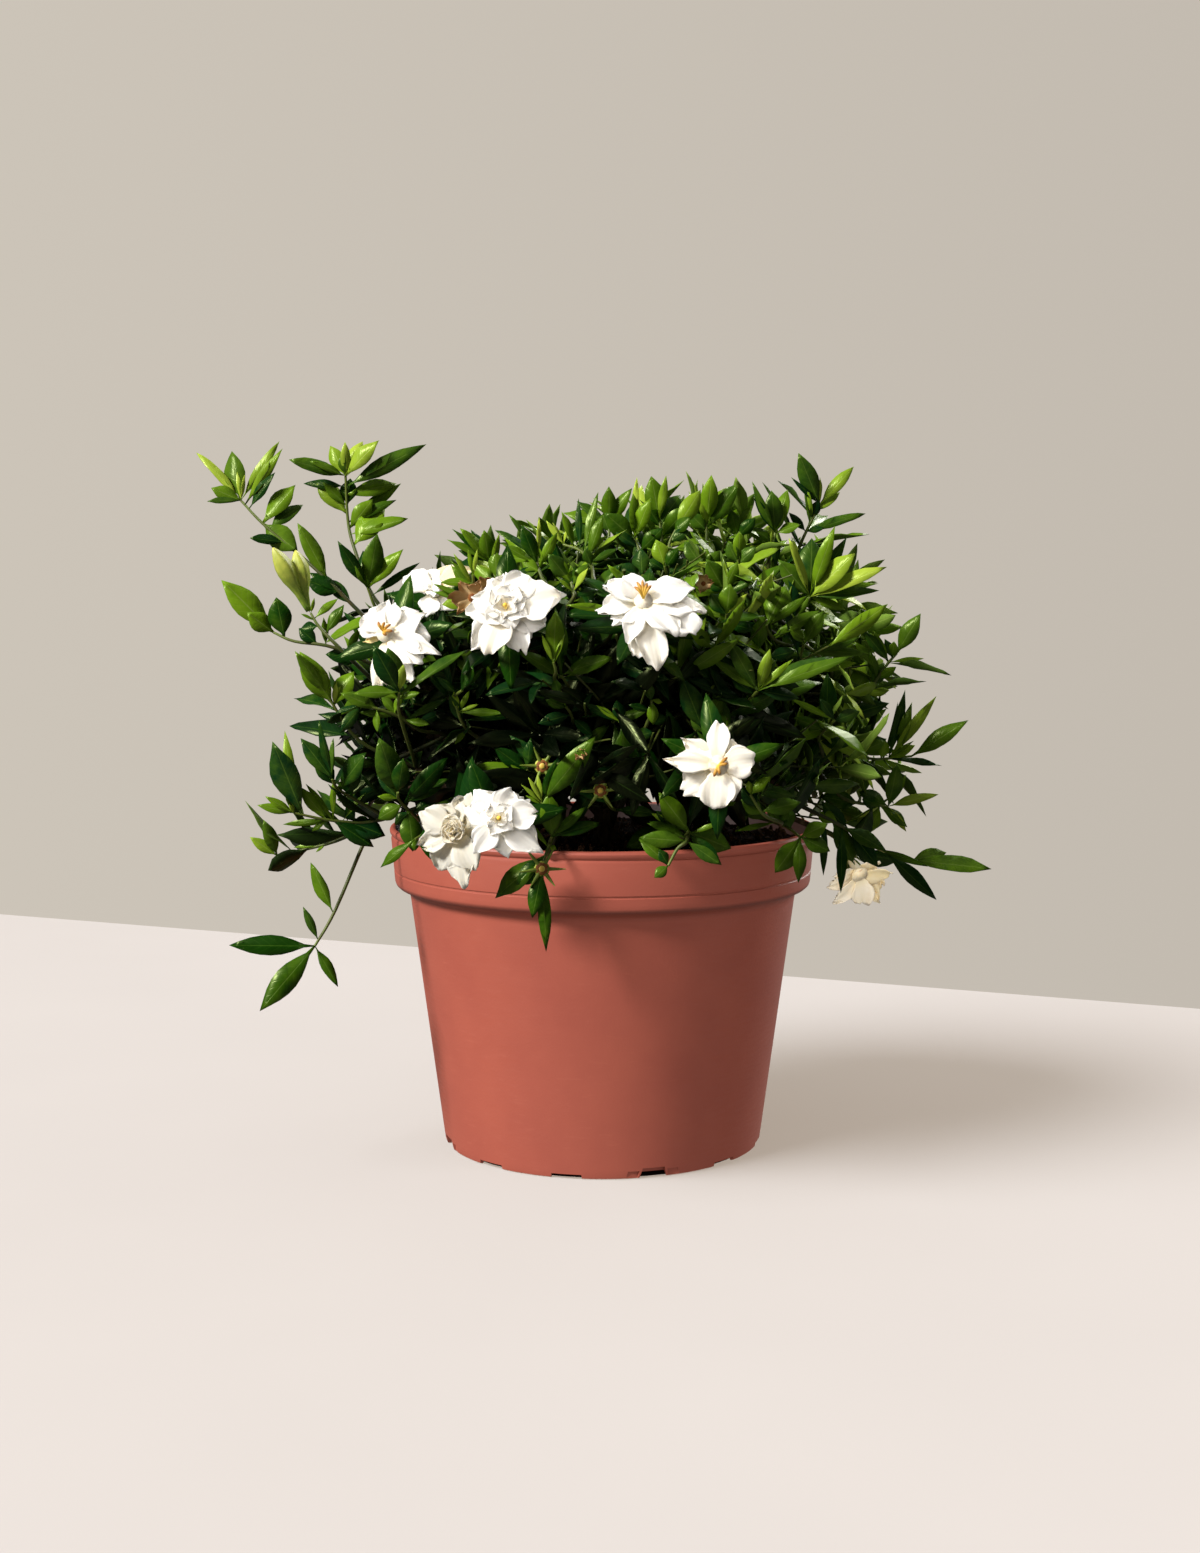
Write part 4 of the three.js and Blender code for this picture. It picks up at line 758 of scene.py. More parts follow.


# %% [markdown]
# ## What the photograph shows
# Twenty-one shoots and eight flowers can be told apart. A shoot is its stem, from the wood to the tip, and
# its leaves, each as how far back from the stem's tip it grows and where its own tip is (x, z). For most
# leaves that is followed by how pale it is, for its youth and for painted light, and how wide for its length,
# both in percent. Lengths are in millimetres.

# %% Shoots told apart in the photograph
HAND_SHOOTS = {
    "far_left": [
        ([(-96, -28, 238), (-127, -25, 269), (-142, -20, 282), (-159, -15, 296), (-170, -10, 307)],
         [(0, -192, 331, 85, 12), (0, -185, 307, 20, 19), (0, -184, 313, 38, 41), (0, -176, 331, 30, 36),
          (0, -172, 321, 95, 14), (0, -168, 319, 95, 14), (0, -152, 335, 62, 13), (3, -150, 331, 55, 14),
          (6, -153, 320, 10, 23), (16, -144, 314, 42, 37), (16, -142, 283, 30, 47), (20, -141, 306, 20, 33),
          (30, -164, 289, 0, 31), (59, -142, 296, 34, 23), (67, -137, 270, 5, 54), (67, -136, 274, 5, 29),
          (75, -129, 271, 12, 30)]),
    ],
    "high_left": [
        ([(-88, -16, 238), (-108, -12, 262), (-117, -5, 283), (-121, 0, 297), (-122, 0, 319)],
         [(0, -148, 326, 20, 24), (0, -138, 326, 30, 18), (0, -130, 334, 60, 37), (0, -122, 330, 25, 55),
          (0, -122, 335, 80, 27), (0, -114, 338, 92, 38), (0, -106, 337, 72, 30), (5, -143, 316, 10, 19),
          (5, -84, 334, 20, 17), (9, -98, 316, 40, 30), (14, -133, 316, 30, 26), (14, -120, 318, 12, 55),
          (18, -136, 318, 62, 39), (22, -98, 308, 20, 17), (22, -96, 316, 35, 16), (25, -109, 308, 42, 41),
          (28, -92, 299, 40, 22), (34, -104, 304, 50, 47)]),
        ([(-98, -14, 250), (-105, -24, 256), (-109, -26, 266)],
         [(0, -122, 288, 10, 22), (0, -114, 278, 30, 32), (0, -112, 284, 5, 31), (0, -104, 291, 22, 34),
          (0, -92, 284, 50, 26), (4, -85, 278, 10, 12)]),
    ],
    "mid_left": [
        ([(-94, -44, 226), (-121, -50, 239), (-140, -48, 242), (-150, -45, 246)],
         [(0, -173, 270, 50, 31), (0, -161, 255, 45, 54), (6, -148, 262, 12, 51), (22, -138, 248, 8, 54),
          (26, -126, 253, 30, 22), (36, -110, 248, 20, 26), (42, -126, 236, 5, 42),
          (42, -121, 234, 2, 54)]),
    ],
    "budding": [
        ([(-100, -62, 222), (-116, -70, 239), (-126, -67, 249), (-130, -65, 255)],
         [(0, -136, 262, 60, 14), (0, -128, 262, 60, 19), (3, -118, 262, 40, 22), (4, -134, 255, 40, 18),
          (7, -135, 248, 10, 55), (12, -115, 259, 20, 31)]),
    ],
    "low_left": [
        ([(-84, -66, 186), (-108, -75, 199), (-121, -80, 219)],
         [(0, -134, 239, 34, 21), (5, -132, 238, 38, 34), (5, -117, 225, 90, 21), (5, -114, 224, 70, 40),
          (5, -110, 230, 40, 49), (10, -101, 221, 30, 29)]),
    ],
    "rim_left": [
        ([(-80, -54, 168), (-104, -60, 161), (-121, -65, 162), (-138, -70, 166)],
         [(0, -154, 170, 42, 24), (0, -150, 174, 50, 22), (0, -142, 203, 62, 12), (0, -140, 170, 80, 32),
          (4, -146, 199, 15, 31), (15, -136, 178, 40, 25), (15, -131, 157, 30, 25), (18, -145, 160, 30, 12),
          (18, -133, 179, 45, 13), (18, -120, 182, 50, 12), (18, -103, 150, 2, 32), (22, -132, 167, 30, 21),
          (22, -106, 175, 35, 12), (25, -98, 155, 3, 50), (28, -116, 169, 10, 48),
          (36, -113, 161, 10, 53)]),
        ([(-104, -60, 161), (-122, -52, 151), (-149, -50, 144)],
         [(0, -161, 153, 60, 31), (0, -154, 161, 30, 31), (23, -142, 148, 35, 12),
          (23, -131, 146, 40, 22)]),
    ],
    "trailing": [
        ([(-92, -34, 172), (-105, -40, 160), (-122, -55, 120), (-131, -60, 104)],
         [(17, -134, 141), (0, -170, 104), (0, -155, 76), (0, -120, 86), (3, -136, 122)]),
    ],
    "rim_front_left": [
        ([(-58, -62, 160), (-76, -84, 159), (-82, -92, 157)],
         [(0, -98, 144, 22, 22), (0, -82, 152, 22, 55), (0, -66, 144, 10, 22), (2, -71, 162, 5, 43)]),
    ],
    "right": [
        ([(96, -14, 194), (121, -12, 212), (134, -10, 229), (140, -5, 235)],
         [(0, 150, 254, 28, 34), (4, 134, 242, 10, 39), (4, 138, 241, 40, 55), (7, 123, 246, 15, 24),
          (7, 128, 246, 35, 18), (7, 153, 233, 60, 13), (13, 118, 241, 30, 21), (17, 126, 236, 25, 30),
          (17, 139, 229, 50, 37), (22, 134, 231, 20, 45), (26, 136, 218, 60, 34), (43, 131, 235, 55, 27),
          (43, 136, 212, 10, 28)]),
    ],
    "right_mid": [
        ([(92, -18, 180), (118, -15, 188), (129, -10, 185), (148, -5, 186)],
         [(0, 168, 196, 66, 19), (0, 173, 204, 30, 22), (8, 147, 212, 35, 17), (12, 145, 218, 15, 12),
          (12, 148, 192, 62, 34), (12, 148, 194, 40, 12), (12, 159, 215, 65, 13), (12, 162, 181, 10, 12),
          (16, 135, 194, 50, 55), (29, 134, 194, 30, 44), (29, 135, 195, 10, 33)]),
        ([(100, -18, 182), (113, -28, 168), (134, -25, 164)],
         [(0, 120, 171, 15, 47), (0, 138, 184, 20, 36), (0, 143, 152, 90, 21), (0, 143, 179, 40, 17),
          (0, 156, 171, 78, 18), (4, 121, 168, 10, 55), (4, 125, 151, 40, 36), (4, 143, 154, 25, 34),
          (14, 102, 169, 12, 42), (26, 106, 177, 65, 50)]),
    ],
    "right_low": [
        ([(88, -46, 168), (109, -52, 158), (126, -44, 147), (143, -38, 140)],
         [(0, 160, 144, 32, 37), (0, 179, 138, 28, 20), (15, 156, 121, 8, 17), (19, 149, 139, 20, 12),
          (37, 100, 169, 10, 34), (37, 126, 139, 10, 33), (41, 108, 129, 10, 14), (41, 129, 148, 15, 27),
          (46, 115, 141, 22, 37), (50, 101, 135, 10, 12), (55, 107, 160, 45, 52)]),
    ],
    "spire": [
        ([(72, 0, 250), (91, 5, 279), (96, 5, 290), (104, 8, 306)],
         [(0, 90, 318, 10, 12), (0, 93, 330, 22, 30), (0, 100, 323, 90, 12), (0, 104, 319, 90, 13),
          (0, 120, 324, 62, 23), (4, 114, 312, 62, 27), (8, 98, 313, 60, 14), (8, 103, 308, 5, 46),
          (11, 97, 317, 25, 16), (15, 89, 302, 3, 28), (15, 106, 295, 10, 37), (15, 127, 302, 20, 14)]),
        ([(80, 2, 262), (79, -3, 279), (82, -2, 292)],
         [(0, 70, 315, 25, 13), (0, 71, 310, 8, 16), (0, 80, 312, 20, 40), (0, 82, 276, 10, 25),
          (0, 84, 304, 40, 43), (0, 88, 313, 42, 30), (0, 94, 296, 38, 42), (5, 72, 295, 20, 39),
          (8, 80, 293, 70, 13)]),
    ],
    "upper_right": [
        ([(70, -32, 228), (86, -40, 249), (95, -38, 262)],
         [(0, 80, 279, 25, 36), (0, 84, 289, 85, 12), (0, 96, 289, 16, 43), (0, 102, 276, 80, 12),
          (0, 105, 294, 45, 17), (0, 111, 289, 15, 18), (0, 112, 256, 40, 22), (0, 114, 282, 72, 33),
          (0, 119, 266, 42, 24), (0, 126, 265, 20, 16), (0, 127, 269, 45, 12), (0, 128, 276, 88, 16),
          (12, 84, 270, 0, 39), (12, 94, 263, 30, 31)]),
    ],
    "front_right": [
        ([(48, -64, 206), (60, -84, 214), (67, -94, 222)],
         [(0, 47, 236, 32, 17), (0, 54, 244, 20, 24), (0, 72, 240, 60, 26), (0, 82, 236, 55, 13),
          (0, 86, 219, 10, 27), (0, 100, 238, 20, 17), (0, 107, 238, 30, 12), (3, 55, 228, 10, 39)]),
    ],
    "below_centre": [
        ([(28, -58, 210), (42, -80, 214), (48, -90, 224)],
         [(0, 35, 242), (3, 56, 206)]),
        ([(34, -68, 212), (41, -86, 204)],
         [(0, 33, 229), (0, 52, 190), (0, 28, 192)]),
    ],
    "front_centre": [
        ([(-2, -56, 204), (-8, -82, 213), (-18, -98, 229)],
         [(0, -20, 258), (0, 4, 237), (2, -36, 240)]),
        ([(-4, -64, 207), (5, -88, 208)],
         [(0, 9, 182), (0, 20, 214), (3, -10, 196)]),
    ],
    "spent_left": [
        ([(-20, -58, 172), (-22, -90, 184), (-26, -103, 190)],
         [(12, -52, 190), (8, -40, 203), (8, -4, 204), (14, -6, 188)]),
    ],
    "spent_centre": [
        ([(10, -56, 166), (4, -86, 170), (-1, -98, 179)],
         [(10, -16, 182), (10, 14, 180), (20, 24, 168)]),
    ],
    "rim_spill": [
        ([(-14, -66, 158), (-20, -94, 160), (-24, -109, 154), (-26, -113, 147)],
         [(0, -30, 127, 12, 31), (0, -24, 112, 20, 14), (2, -36, 140, 10, 49), (6, -47, 135, 24, 31),
          (6, -37, 140, 12, 36), (11, -32, 166, 40, 12), (17, -22, 176, 22, 45), (21, -7, 172, 10, 18),
          (30, -1, 163, 15, 23)]),
    ],
    "rim_right": [
        ([(30, -66, 160), (37, -92, 161), (36, -106, 158)],
         [(0, 16, 160, 25, 32), (0, 51, 148, 20, 27), (3, 20, 166, 20, 25), (8, 25, 176, 22, 43),
          (8, 51, 148, 12, 30), (8, 52, 166, 40, 12), (11, 56, 153, 25, 43), (41, 10, 150, 20, 36)]),
    ],
    "rim_far_right": [
        ([(64, -52, 164), (80, -72, 161), (87, -84, 157)],
         [(0, 76, 141, 30, 46), (0, 86, 137, 25, 26), (0, 99, 163, 35, 49), (0, 100, 151, 20, 47),
          (8, 81, 170, 18, 55), (11, 72, 170, 22, 32), (19, 59, 158, 40, 12), (24, 63, 171, 20, 55)]),
    ],
}

# %% [markdown]
# Sprigs of the crown can be told apart too, though not the shoots that carry them. Each starts at the
# nearest carrying stem. Its leaves are told the same way.

# %% Sprigs of the crown
SPRIGS = [
    ([(-84, -66, 186), (-87, -84, 204), (-88, -98, 214), (-87, -105, 222)],
     [(0, -106, 222, 30, 26), (0, -97, 242, 10, 35), (0, -92, 241, 20, 41), (0, -85, 234, 80, 35),
      (2, -58, 241, 20, 12), (4, -95, 223, 40, 39), (4, -78, 222, 30, 25)]),
    ([(-71, -62, 200), (-81, -70, 203), (-89, -76, 209), (-98, -80, 213), (-106, -82, 215)],
     [(0, -118, 212, 10, 19), (0, -115, 203, 10, 30), (7, -99, 203, 35, 27), (8, -114, 221, 30, 30),
      (15, -88, 221, 45, 27), (17, -107, 212, 25, 18), (17, -98, 220, 30, 28), (21, -76, 206, 30, 27),
      (21, -68, 218, 15, 14), (26, -69, 212, 5, 23), (31, -88, 213, 10, 18)]),
    ([(-100, -60, 164), (-110, -66, 171), (-118, -72, 177), (-120, -76, 182)],
     [(0, -134, 200, 15, 30), (0, -125, 208, 12, 12), (0, -120, 200, 20, 15), (5, -128, 192, 10, 42),
      (7, -104, 194, 14, 38), (11, -108, 184, 5, 40), (16, -116, 185, 10, 35)]),
    ([(-83, -62, 162), (-86, -72, 167), (-90, -80, 173), (-90, -86, 177)],
     [(1, -87, 192, 12, 41), (4, -97, 201, 20, 38), (6, -99, 175, 45, 30), (7, -100, 184, 10, 26),
      (11, -100, 164, 25, 49), (11, -68, 182, 14, 24), (11, -68, 192, 3, 25), (16, -84, 150, 20, 47),
      (18, -93, 161, 10, 51), (20, -74, 172, 8, 38), (25, -56, 178, 20, 17)]),
    ([(93, -30, 223), (90, -44, 233), (91, -50, 240), (91, -54, 243)],
     [(0, 84, 249, 35, 41), (0, 99, 256, 30, 33), (8, 121, 237, 25, 15), (10, 81, 238, 20, 44),
      (21, 106, 234, 15, 37), (21, 116, 232, 50, 20)]),
    ([(103, -26, 188), (99, -44, 198), (101, -56, 203), (104, -62, 207)],
     [(0, 84, 217, 38, 12), (0, 97, 217, 10, 32), (1, 116, 211, 15, 40), (8, 102, 228, 12, 30),
      (10, 86, 208, 20, 32), (25, 95, 188, 10, 55), (25, 113, 194, 5, 43)]),
    ([(90, -30, 239), (79, -50, 242), (74, -60, 247), (73, -66, 250)],
     [(0, 82, 268, 32, 52), (1, 91, 263, 30, 17), (2, 70, 254, 20, 55), (9, 59, 251, 10, 24),
      (13, 99, 256, 28, 19), (16, 84, 250, 30, 32)]),
    ([(77, -40, 228), (73, -60, 236), (68, -72, 239)],
     [(3, 69, 253, 25, 43), (5, 56, 237, 10, 38), (17, 87, 238, 10, 41)]),
    ([(106, -30, 225), (99, -44, 235), (91, -54, 241)],
     [(0, 84, 249, 30, 39), (0, 99, 256, 28, 40), (8, 116, 244, 20, 23), (11, 116, 241, 35, 28),
      (18, 80, 238, 15, 26)]),
    ([(36, -106, 158), (32, -108, 155), (28, -110, 148)],
     [(0, 16, 160, 28, 34), (0, 22, 143, 25, 55), (0, 24, 155, 10, 53)]),
    ([(1, -6, 280), (3, -4, 290), (3, -2, 296)],
     [(0, -19, 302, 35, 25), (0, 3, 314, 25, 35), (0, 13, 313, 30, 29), (1, -18, 292, 12, 33),
      (1, -12, 308, 15, 22), (4, 0, 301, 20, 55)]),
    ([(18, -20, 270), (18, -14, 281), (15, -10, 289)],
     [(0, 1, 301, 18, 46), (0, 15, 310, 35, 26), (0, 16, 318, 90, 12), (0, 22, 308, 45, 31),
      (5, 6, 292, 10, 41), (7, 28, 294, 15, 43)]),
    ([(28, -4, 280), (28, -2, 290), (27, 0, 298)],
     [(0, 23, 319, 30, 41), (0, 30, 319, 60, 18), (2, 37, 311, 12, 49), (3, 21, 305, 15, 47),
      (8, 41, 305, 20, 42)]),
    ([(32, -24, 278), (31, -20, 286), (34, -18, 293)],
     [(0, 46, 312, 58, 34), (2, 41, 299, 20, 55), (6, 40, 293, 15, 51)]),
    ([(48, -14, 281), (49, -10, 288), (49, -8, 296)],
     [(0, 47, 310, 62, 36), (0, 51, 319, 48, 32), (0, 57, 313, 50, 42), (2, 64, 316, 22, 27),
      (3, 41, 301, 20, 55)]),
    ([(65, -10, 284), (64, -6, 291), (63, -4, 294)],
     [(1, 71, 305, 35, 30), (4, 60, 303, 20, 45), (5, 72, 299, 12, 45)]),
    ([(29, -44, 267), (29, -48, 271), (28, -50, 276)],
     [(0, 24, 288, 55, 54), (1, 34, 284, 10, 48), (2, 20, 279, 10, 55), (4, 39, 279, 15, 50)]),
    ([(46, -44, 265), (46, -48, 271), (45, -50, 276)],
     [(0, 37, 287, 20, 54), (1, 47, 284, 30, 55), (2, 53, 283, 20, 46)]),
    ([(57, -56, 259), (55, -60, 263), (54, -62, 266)],
     [(1, 46, 279, 22, 47), (1, 60, 278, 35, 40), (2, 47, 270, 10, 55), (3, 67, 270, 15, 24)]),
    ([(62, -34, 267), (63, -34, 272), (62, -36, 279)],
     [(0, 63, 292, 48, 45), (2, 57, 287, 20, 50), (2, 70, 285, 20, 51)]),
    ([(15, -50, 267), (17, -54, 270), (18, -56, 272)],
     [(1, 17, 284, 14, 55), (2, 6, 276, 12, 55), (4, 8, 267, 10, 55)]),
    ([(56, -74, 243), (54, -80, 250), (54, -84, 255)],
     [(0, 55, 268, 32, 55), (0, 63, 264, 90, 19), (1, 47, 264, 10, 55), (5, 53, 258, 28, 55),
      (5, 66, 248, 10, 43)]),
    ([(-56, -84, 259), (-56, -88, 265), (-56, -90, 268), (-56, -92, 272)],
     [(1, -58, 283, 50, 14), (1, -54, 283, 78, 14), (4, -70, 269, 40, 25), (4, -66, 278, 30, 13),
      (6, -64, 281, 62, 12), (14, -74, 268, 32, 12), (14, -70, 259, 62, 42), (14, -50, 269, 10, 21),
      (15, -75, 265, 30, 12)]),
    ([(-45, -66, 264), (-47, -62, 269), (-49, -58, 274), (-51, -56, 278)],
     [(0, -70, 288, 30, 14), (0, -67, 293, 12, 12), (0, -65, 283, 10, 23), (0, -63, 293, 42, 25),
      (0, -59, 293, 10, 21), (0, -53, 292, 28, 40), (3, -46, 290, 55, 18), (9, -41, 282, 12, 25),
      (10, -48, 283, 32, 45)]),
    ([(-25, -74, 264), (-27, -70, 271), (-29, -66, 276), (-29, -64, 280)],
     [(0, -48, 293, 15, 15), (0, -41, 299, 20, 12), (0, -28, 297, 95, 12), (4, -45, 286, 30, 19),
      (4, -36, 294, 12, 33), (6, -20, 291, 44, 23), (7, -38, 274, 10, 25), (7, -24, 266, 30, 25),
      (8, -36, 278, 38, 55)]),
    ([(-14, -82, 260), (-13, -82, 265), (-14, -80, 269)],
     [(0, -24, 281, 22, 44), (1, -22, 281, 42, 31), (2, -6, 277, 28, 39), (5, -6, 275, 80, 21),
      (6, -20, 271, 55, 15), (8, -2, 266, 2, 30)]),
    ([(-3, -66, 268), (-5, -50, 276), (-10, -40, 283), (-18, -34, 286)],
     [(0, -26, 297, 98, 18), (0, -23, 296, 95, 14), (0, -16, 294, 90, 15), (0, -10, 284, 90, 12),
      (0, -2, 296, 15, 29), (6, -18, 301, 42, 21), (8, -3, 289, 12, 25), (10, -11, 307, 12, 12),
      (13, -2, 310, 28, 12), (15, 2, 290, 62, 15), (18, 0, 300, 28, 22), (21, 7, 284, 15, 21),
      (24, -8, 284, 20, 50)]),
    ([(-20, -102, 226), (-20, -108, 231), (-21, -110, 235)],
     [(0, -20, 257, 42, 31), (1, -26, 247, 62, 14), (1, -16, 247, 55, 13), (3, -24, 241, 10, 31),
      (9, -19, 221, 18, 55)]),
    ([(-2, -70, 240), (6, -84, 251), (9, -92, 256)],
     [(0, -16, 259, 42, 12), (5, -16, 255, 6, 17), (13, -3, 248, 30, 23), (25, -11, 248, 2, 53)]),
    ([(-6, -80, 225), (-14, -88, 227), (-19, -94, 228)],
     [(2, 0, 226, 10, 13), (4, 4, 236, 36, 18), (8, -5, 240, 5, 22)]),
    ([(-67, -80, 218), (-64, -88, 220), (-61, -92, 222)],
     [(0, -56, 233, 10, 41), (1, -58, 236, 5, 20), (1, -52, 232, 15, 21), (4, -72, 228, 10, 24),
      (9, -69, 236, 10, 14), (14, -76, 229, 10, 24)]),
    ([(-26, -88, 172), (-31, -96, 185), (-33, -98, 188)],
     [(0, -41, 200, 12, 42), (0, -31, 202, 10, 28), (1, -56, 190, 36, 18), (1, -47, 198, 8, 33),
      (4, -44, 187, 2, 55)]),
    ([(-24, -100, 151), (-23, -104, 157), (-22, -106, 160)],
     [(0, -23, 179, 28, 41), (0, -7, 173, 20, 19), (0, -1, 166, 12, 22), (5, -33, 166, 35, 13),
      (5, -20, 154, 50, 55)]),
    ([(-25, -104, 170), (-26, -106, 173), (-26, -108, 175)],
     [(0, -32, 186, 80, 14), (0, -28, 187, 75, 16), (0, -3, 204, 22, 23), (1, -35, 183, 65, 12),
      (1, -9, 194, 50, 12), (2, -33, 178, 50, 17), (2, -20, 194, 10, 23)]),
    ([(17, -80, 187), (14, -88, 198), (10, -94, 206), (7, -96, 209)],
     [(1, -9, 217, 10, 16), (1, -3, 216, 50, 17), (1, 6, 218, 3, 55), (2, 9, 181, 16, 33),
      (11, 22, 204, 14, 53), (16, 15, 180, 4, 33)]),
    ([(-12, -84, 207), (-14, -90, 212), (-16, -92, 215)],
     [(0, -20, 225, 30, 41), (1, -25, 218, 18, 36), (4, -4, 221, 5, 37), (5, -28, 208, 6, 34),
      (7, -4, 202, 4, 32)]),
    ([(49, -80, 194), (45, -90, 202), (44, -92, 204)],
     [(0, 34, 228, 12, 33), (0, 52, 221, 30, 32), (1, 38, 211, 25, 41), (2, 55, 209, 5, 40),
      (5, 60, 203, 10, 27)]),
    ([(19, -86, 203), (21, -92, 212), (21, -94, 218)],
     [(0, 22, 207, 38, 40), (0, 26, 217, 60, 45), (1, 19, 227, 15, 39), (5, 11, 216, 5, 28),
      (10, 28, 210, 4, 55)]),
    ([(78, -88, 164), (70, -94, 168), (64, -96, 177)],
     [(0, 63, 183, 60, 47), (0, 73, 185, 44, 37), (7, 60, 180, 6, 49), (9, 86, 174, 24, 35),
      (11, 60, 175, 26, 55), (22, 81, 170, 16, 55)]),
    ([(30, -98, 165), (34, -100, 159), (37, -102, 162)],
     [(0, 24, 179, 32, 37), (2, 19, 165, 20, 20), (11, 23, 170, 10, 38), (12, 21, 169, 60, 24)]),
    ([(-54, -80, 200), (-61, -86, 207), (-64, -88, 215)],
     [(3, -65, 222, 60, 27), (3, -58, 222, 50, 20), (3, -54, 216, 60, 16), (3, -42, 212, 30, 14),
      (7, -33, 212, 12, 12), (9, -67, 220, 10, 27), (13, -65, 198, 35, 26)]),
]

# %% [markdown]
# A flower is where its heart is and which way it faces, how wide its heart is, how many petals stand in it,
# how far round it no leaf may hide it, and its open petals. A petal is its heading in degrees as seen from
# the front, its reach and its width. It may also say how broad its end is, from 0 for a point to 1 for a
# square end, and how old it is, from white to yellow. A stamen is its heading and its reach. Four more
# flowers have dried: each is its place and its size.

# %% Flowers
FLOWERS = {
    "upper_left": {
        "at": (-94, -92, 247), "faces": (-0.3, -0.9, 0.2), "heart": 5, "inner": 0, "clear": 20,
        "petals": [(135, 13, 12, 0.7), (82, 14, 12), (51, 13, 10, 0.3), (161, 12, 9), (28, 18, 13, 0.3),
                   (-6, 18, 15), (-34, 20, 14, 0.5), (-54, 20, 13, 0.4), (-95, 24, 11, 0.75, 0.3),
                   (-17, 25, 8, 0.3), (-64, 26, 8, 0.4), (192, 12, 4, 0.2, 1.0)],
        "stamens": [(70, 4), (35, 5), (0, 5), (110, 4), (-40, 3)]},
    "upper_mid": {
        "at": (-41, -112, 258), "faces": (0, -0.95, 0.25), "heart": 8, "inner": 7, "clear": 21,
        "petals": [(60, 17, 13, 0.85), (88, 16, 11, 0.2), (122, 14, 12), (167, 15, 10, 0.4), (190, 17, 10),
                   (226, 22, 12, 0.3), (252, 21, 13, 0.7, 0.25), (-70, 20, 11, 0.6), (-52, 16, 11, 0.5),
                   (7, 25, 16, 0.15, 0.12), (-24, 18, 13, 0.6)],
        "pistil": True},
    "upper_right": {
        "at": (17, -107, 261), "faces": (0.05, -0.8, 0.6), "heart": 4, "inner": 0, "clear": 21,
        "petals": [(162, 18, 11, 0.5), (184, 19, 10, 0.6), (213, 15, 11), (136, 12, 13, 0.9),
                   (70, 9, 15, 0.95), (47, 16, 11, 0.2), (17, 21, 13, 0.5), (-5, 26, 11, 0.3),
                   (-26, 26, 14, 0.8), (-46, 20, 14), (-83, 27, 12, 0.9, 0.2), (-101, 23, 10, 0.6, 0.1),
                   (-112, 19, 9)],
        "stamens": [(140, 5), (118, 6), (95, 6), (72, 5), (50, 5)]},
    "lower_right": {
        "at": (48, -131, 193), "faces": (-0.1, -0.97, 0.1), "heart": 4, "inner": 0, "clear": 20,
        "age": 0.2,
        "petals": [(92, 19, 9, 0.5), (70, 12, 11), (144, 19, 9, 0.1), (173, 22, 9, 0.15), (140, 11, 10),
                   (216, 19, 13, 0.7), (-90, 18, 14, 0.85), (-70, 15, 12, 0.7), (-42, 11, 12),
                   (11, 15, 13, 0.8), (38, 7, 5, 0.6, 1.0)],
        "stamens": [(40, 5), (10, 4), (-80, 4), (-110, 5)]},
    "rim": {
        "at": (-44, -126, 170), "faces": (0.15, -0.95, 0.2), "heart": 6, "inner": 5, "clear": 16,
        "petals": [(68, 14, 12, 0.3), (122, 15, 11), (163, 14, 10), (11, 17, 12, 0.3), (-38, 22, 13, 0.5),
                   (-79, 16, 12, 0.3), (237, 16, 11), (38, 15, 11)],
        "pistil": True},
    "rim_shaded": {
        "at": (-62, -118, 164), "faces": (-0.3, -0.92, 0.15), "heart": 7, "inner": 9, "clear": 17,
        "age": 0.25,
        "petals": [(157, 17, 12), (109, 13, 12, 0.7), (78, 17, 10), (202, 18, 10, 0.3), (246, 19, 13),
                   (-83, 23, 13, 0.6), (-62, 18, 12), (130, 14, 11), (20, 13, 11)],
        "rose": True},
    "behind": {
        "at": (-76, -58, 266), "faces": (-0.2, -0.8, 0.5), "heart": 4, "inner": 3, "clear": 12,
        "petals": [(162, 13, 13, 0.9), (120, 10, 11), (56, 15, 11, 0.6, 0.8), (28, 19, 10, 0.5, 0.7),
                   (250, 11, 10), (-40, 12, 10)]},
    "hanging": {
        "at": (119, -42, 134), "faces": (0.3, -0.8, -0.5), "heart": 3, "inner": 0, "clear": 15,
        "age": 0.4,
        "petals": [(237, 18, 9, 0.3), (185, 11, 9), (262, 15, 10), (-2, 14, 11, 0.6, 0.7),
                   (-35, 16, 10, 0.6, 0.8), (-50, 20, 10, 0.15, 0.7), (-77, 16, 10), (215, 15, 9),
                   (20, 11, 8, 0.5, 0.5)]},
}

DRIED = [((-56, -92, 262), 11), ((-50, -86, 266), 8), ((44, -76, 268), 6), ((-9, -112, 196), 4)]
print("told apart:", len(HAND_SHOOTS), "shoots,", len(SPRIGS), "sprigs,", len(FLOWERS), "flowers")

# %% [markdown]
# The crown between these shoots is a thicket that no photograph can sort out. It grows by rule, round the
# nineteen crown shoots of the solid model, so the same rule is used here to find where each of those stands:
# even steps of the golden angle round an ellipsoid, but for the room taken by the shoots and flowers above.

# %% The lines that carry the crown
CROWN = spot(4, 0, 196)
CROWN_REACH = Vector((140, 132, 118)) * MM
RULE_TRIES = 24
ROOM = 30 * MM
ROOT_SHARE, TIP_SHARE = 0.44, 0.8  # of the way out to the crown's outline
GOLDEN_ANGLE = 137.5


def golden_way(index, count, top=0.97, span=1.35):
    """One of a number of ways that spread evenly over the crown, from its top to under its middle."""
    height = top - span * (index + 0.5) / count
    azimuth = math.radians(GOLDEN_ANGLE * index)
    level = math.sqrt(1 - height * height)
    return Vector((level * math.cos(azimuth), level * math.sin(azimuth), height))


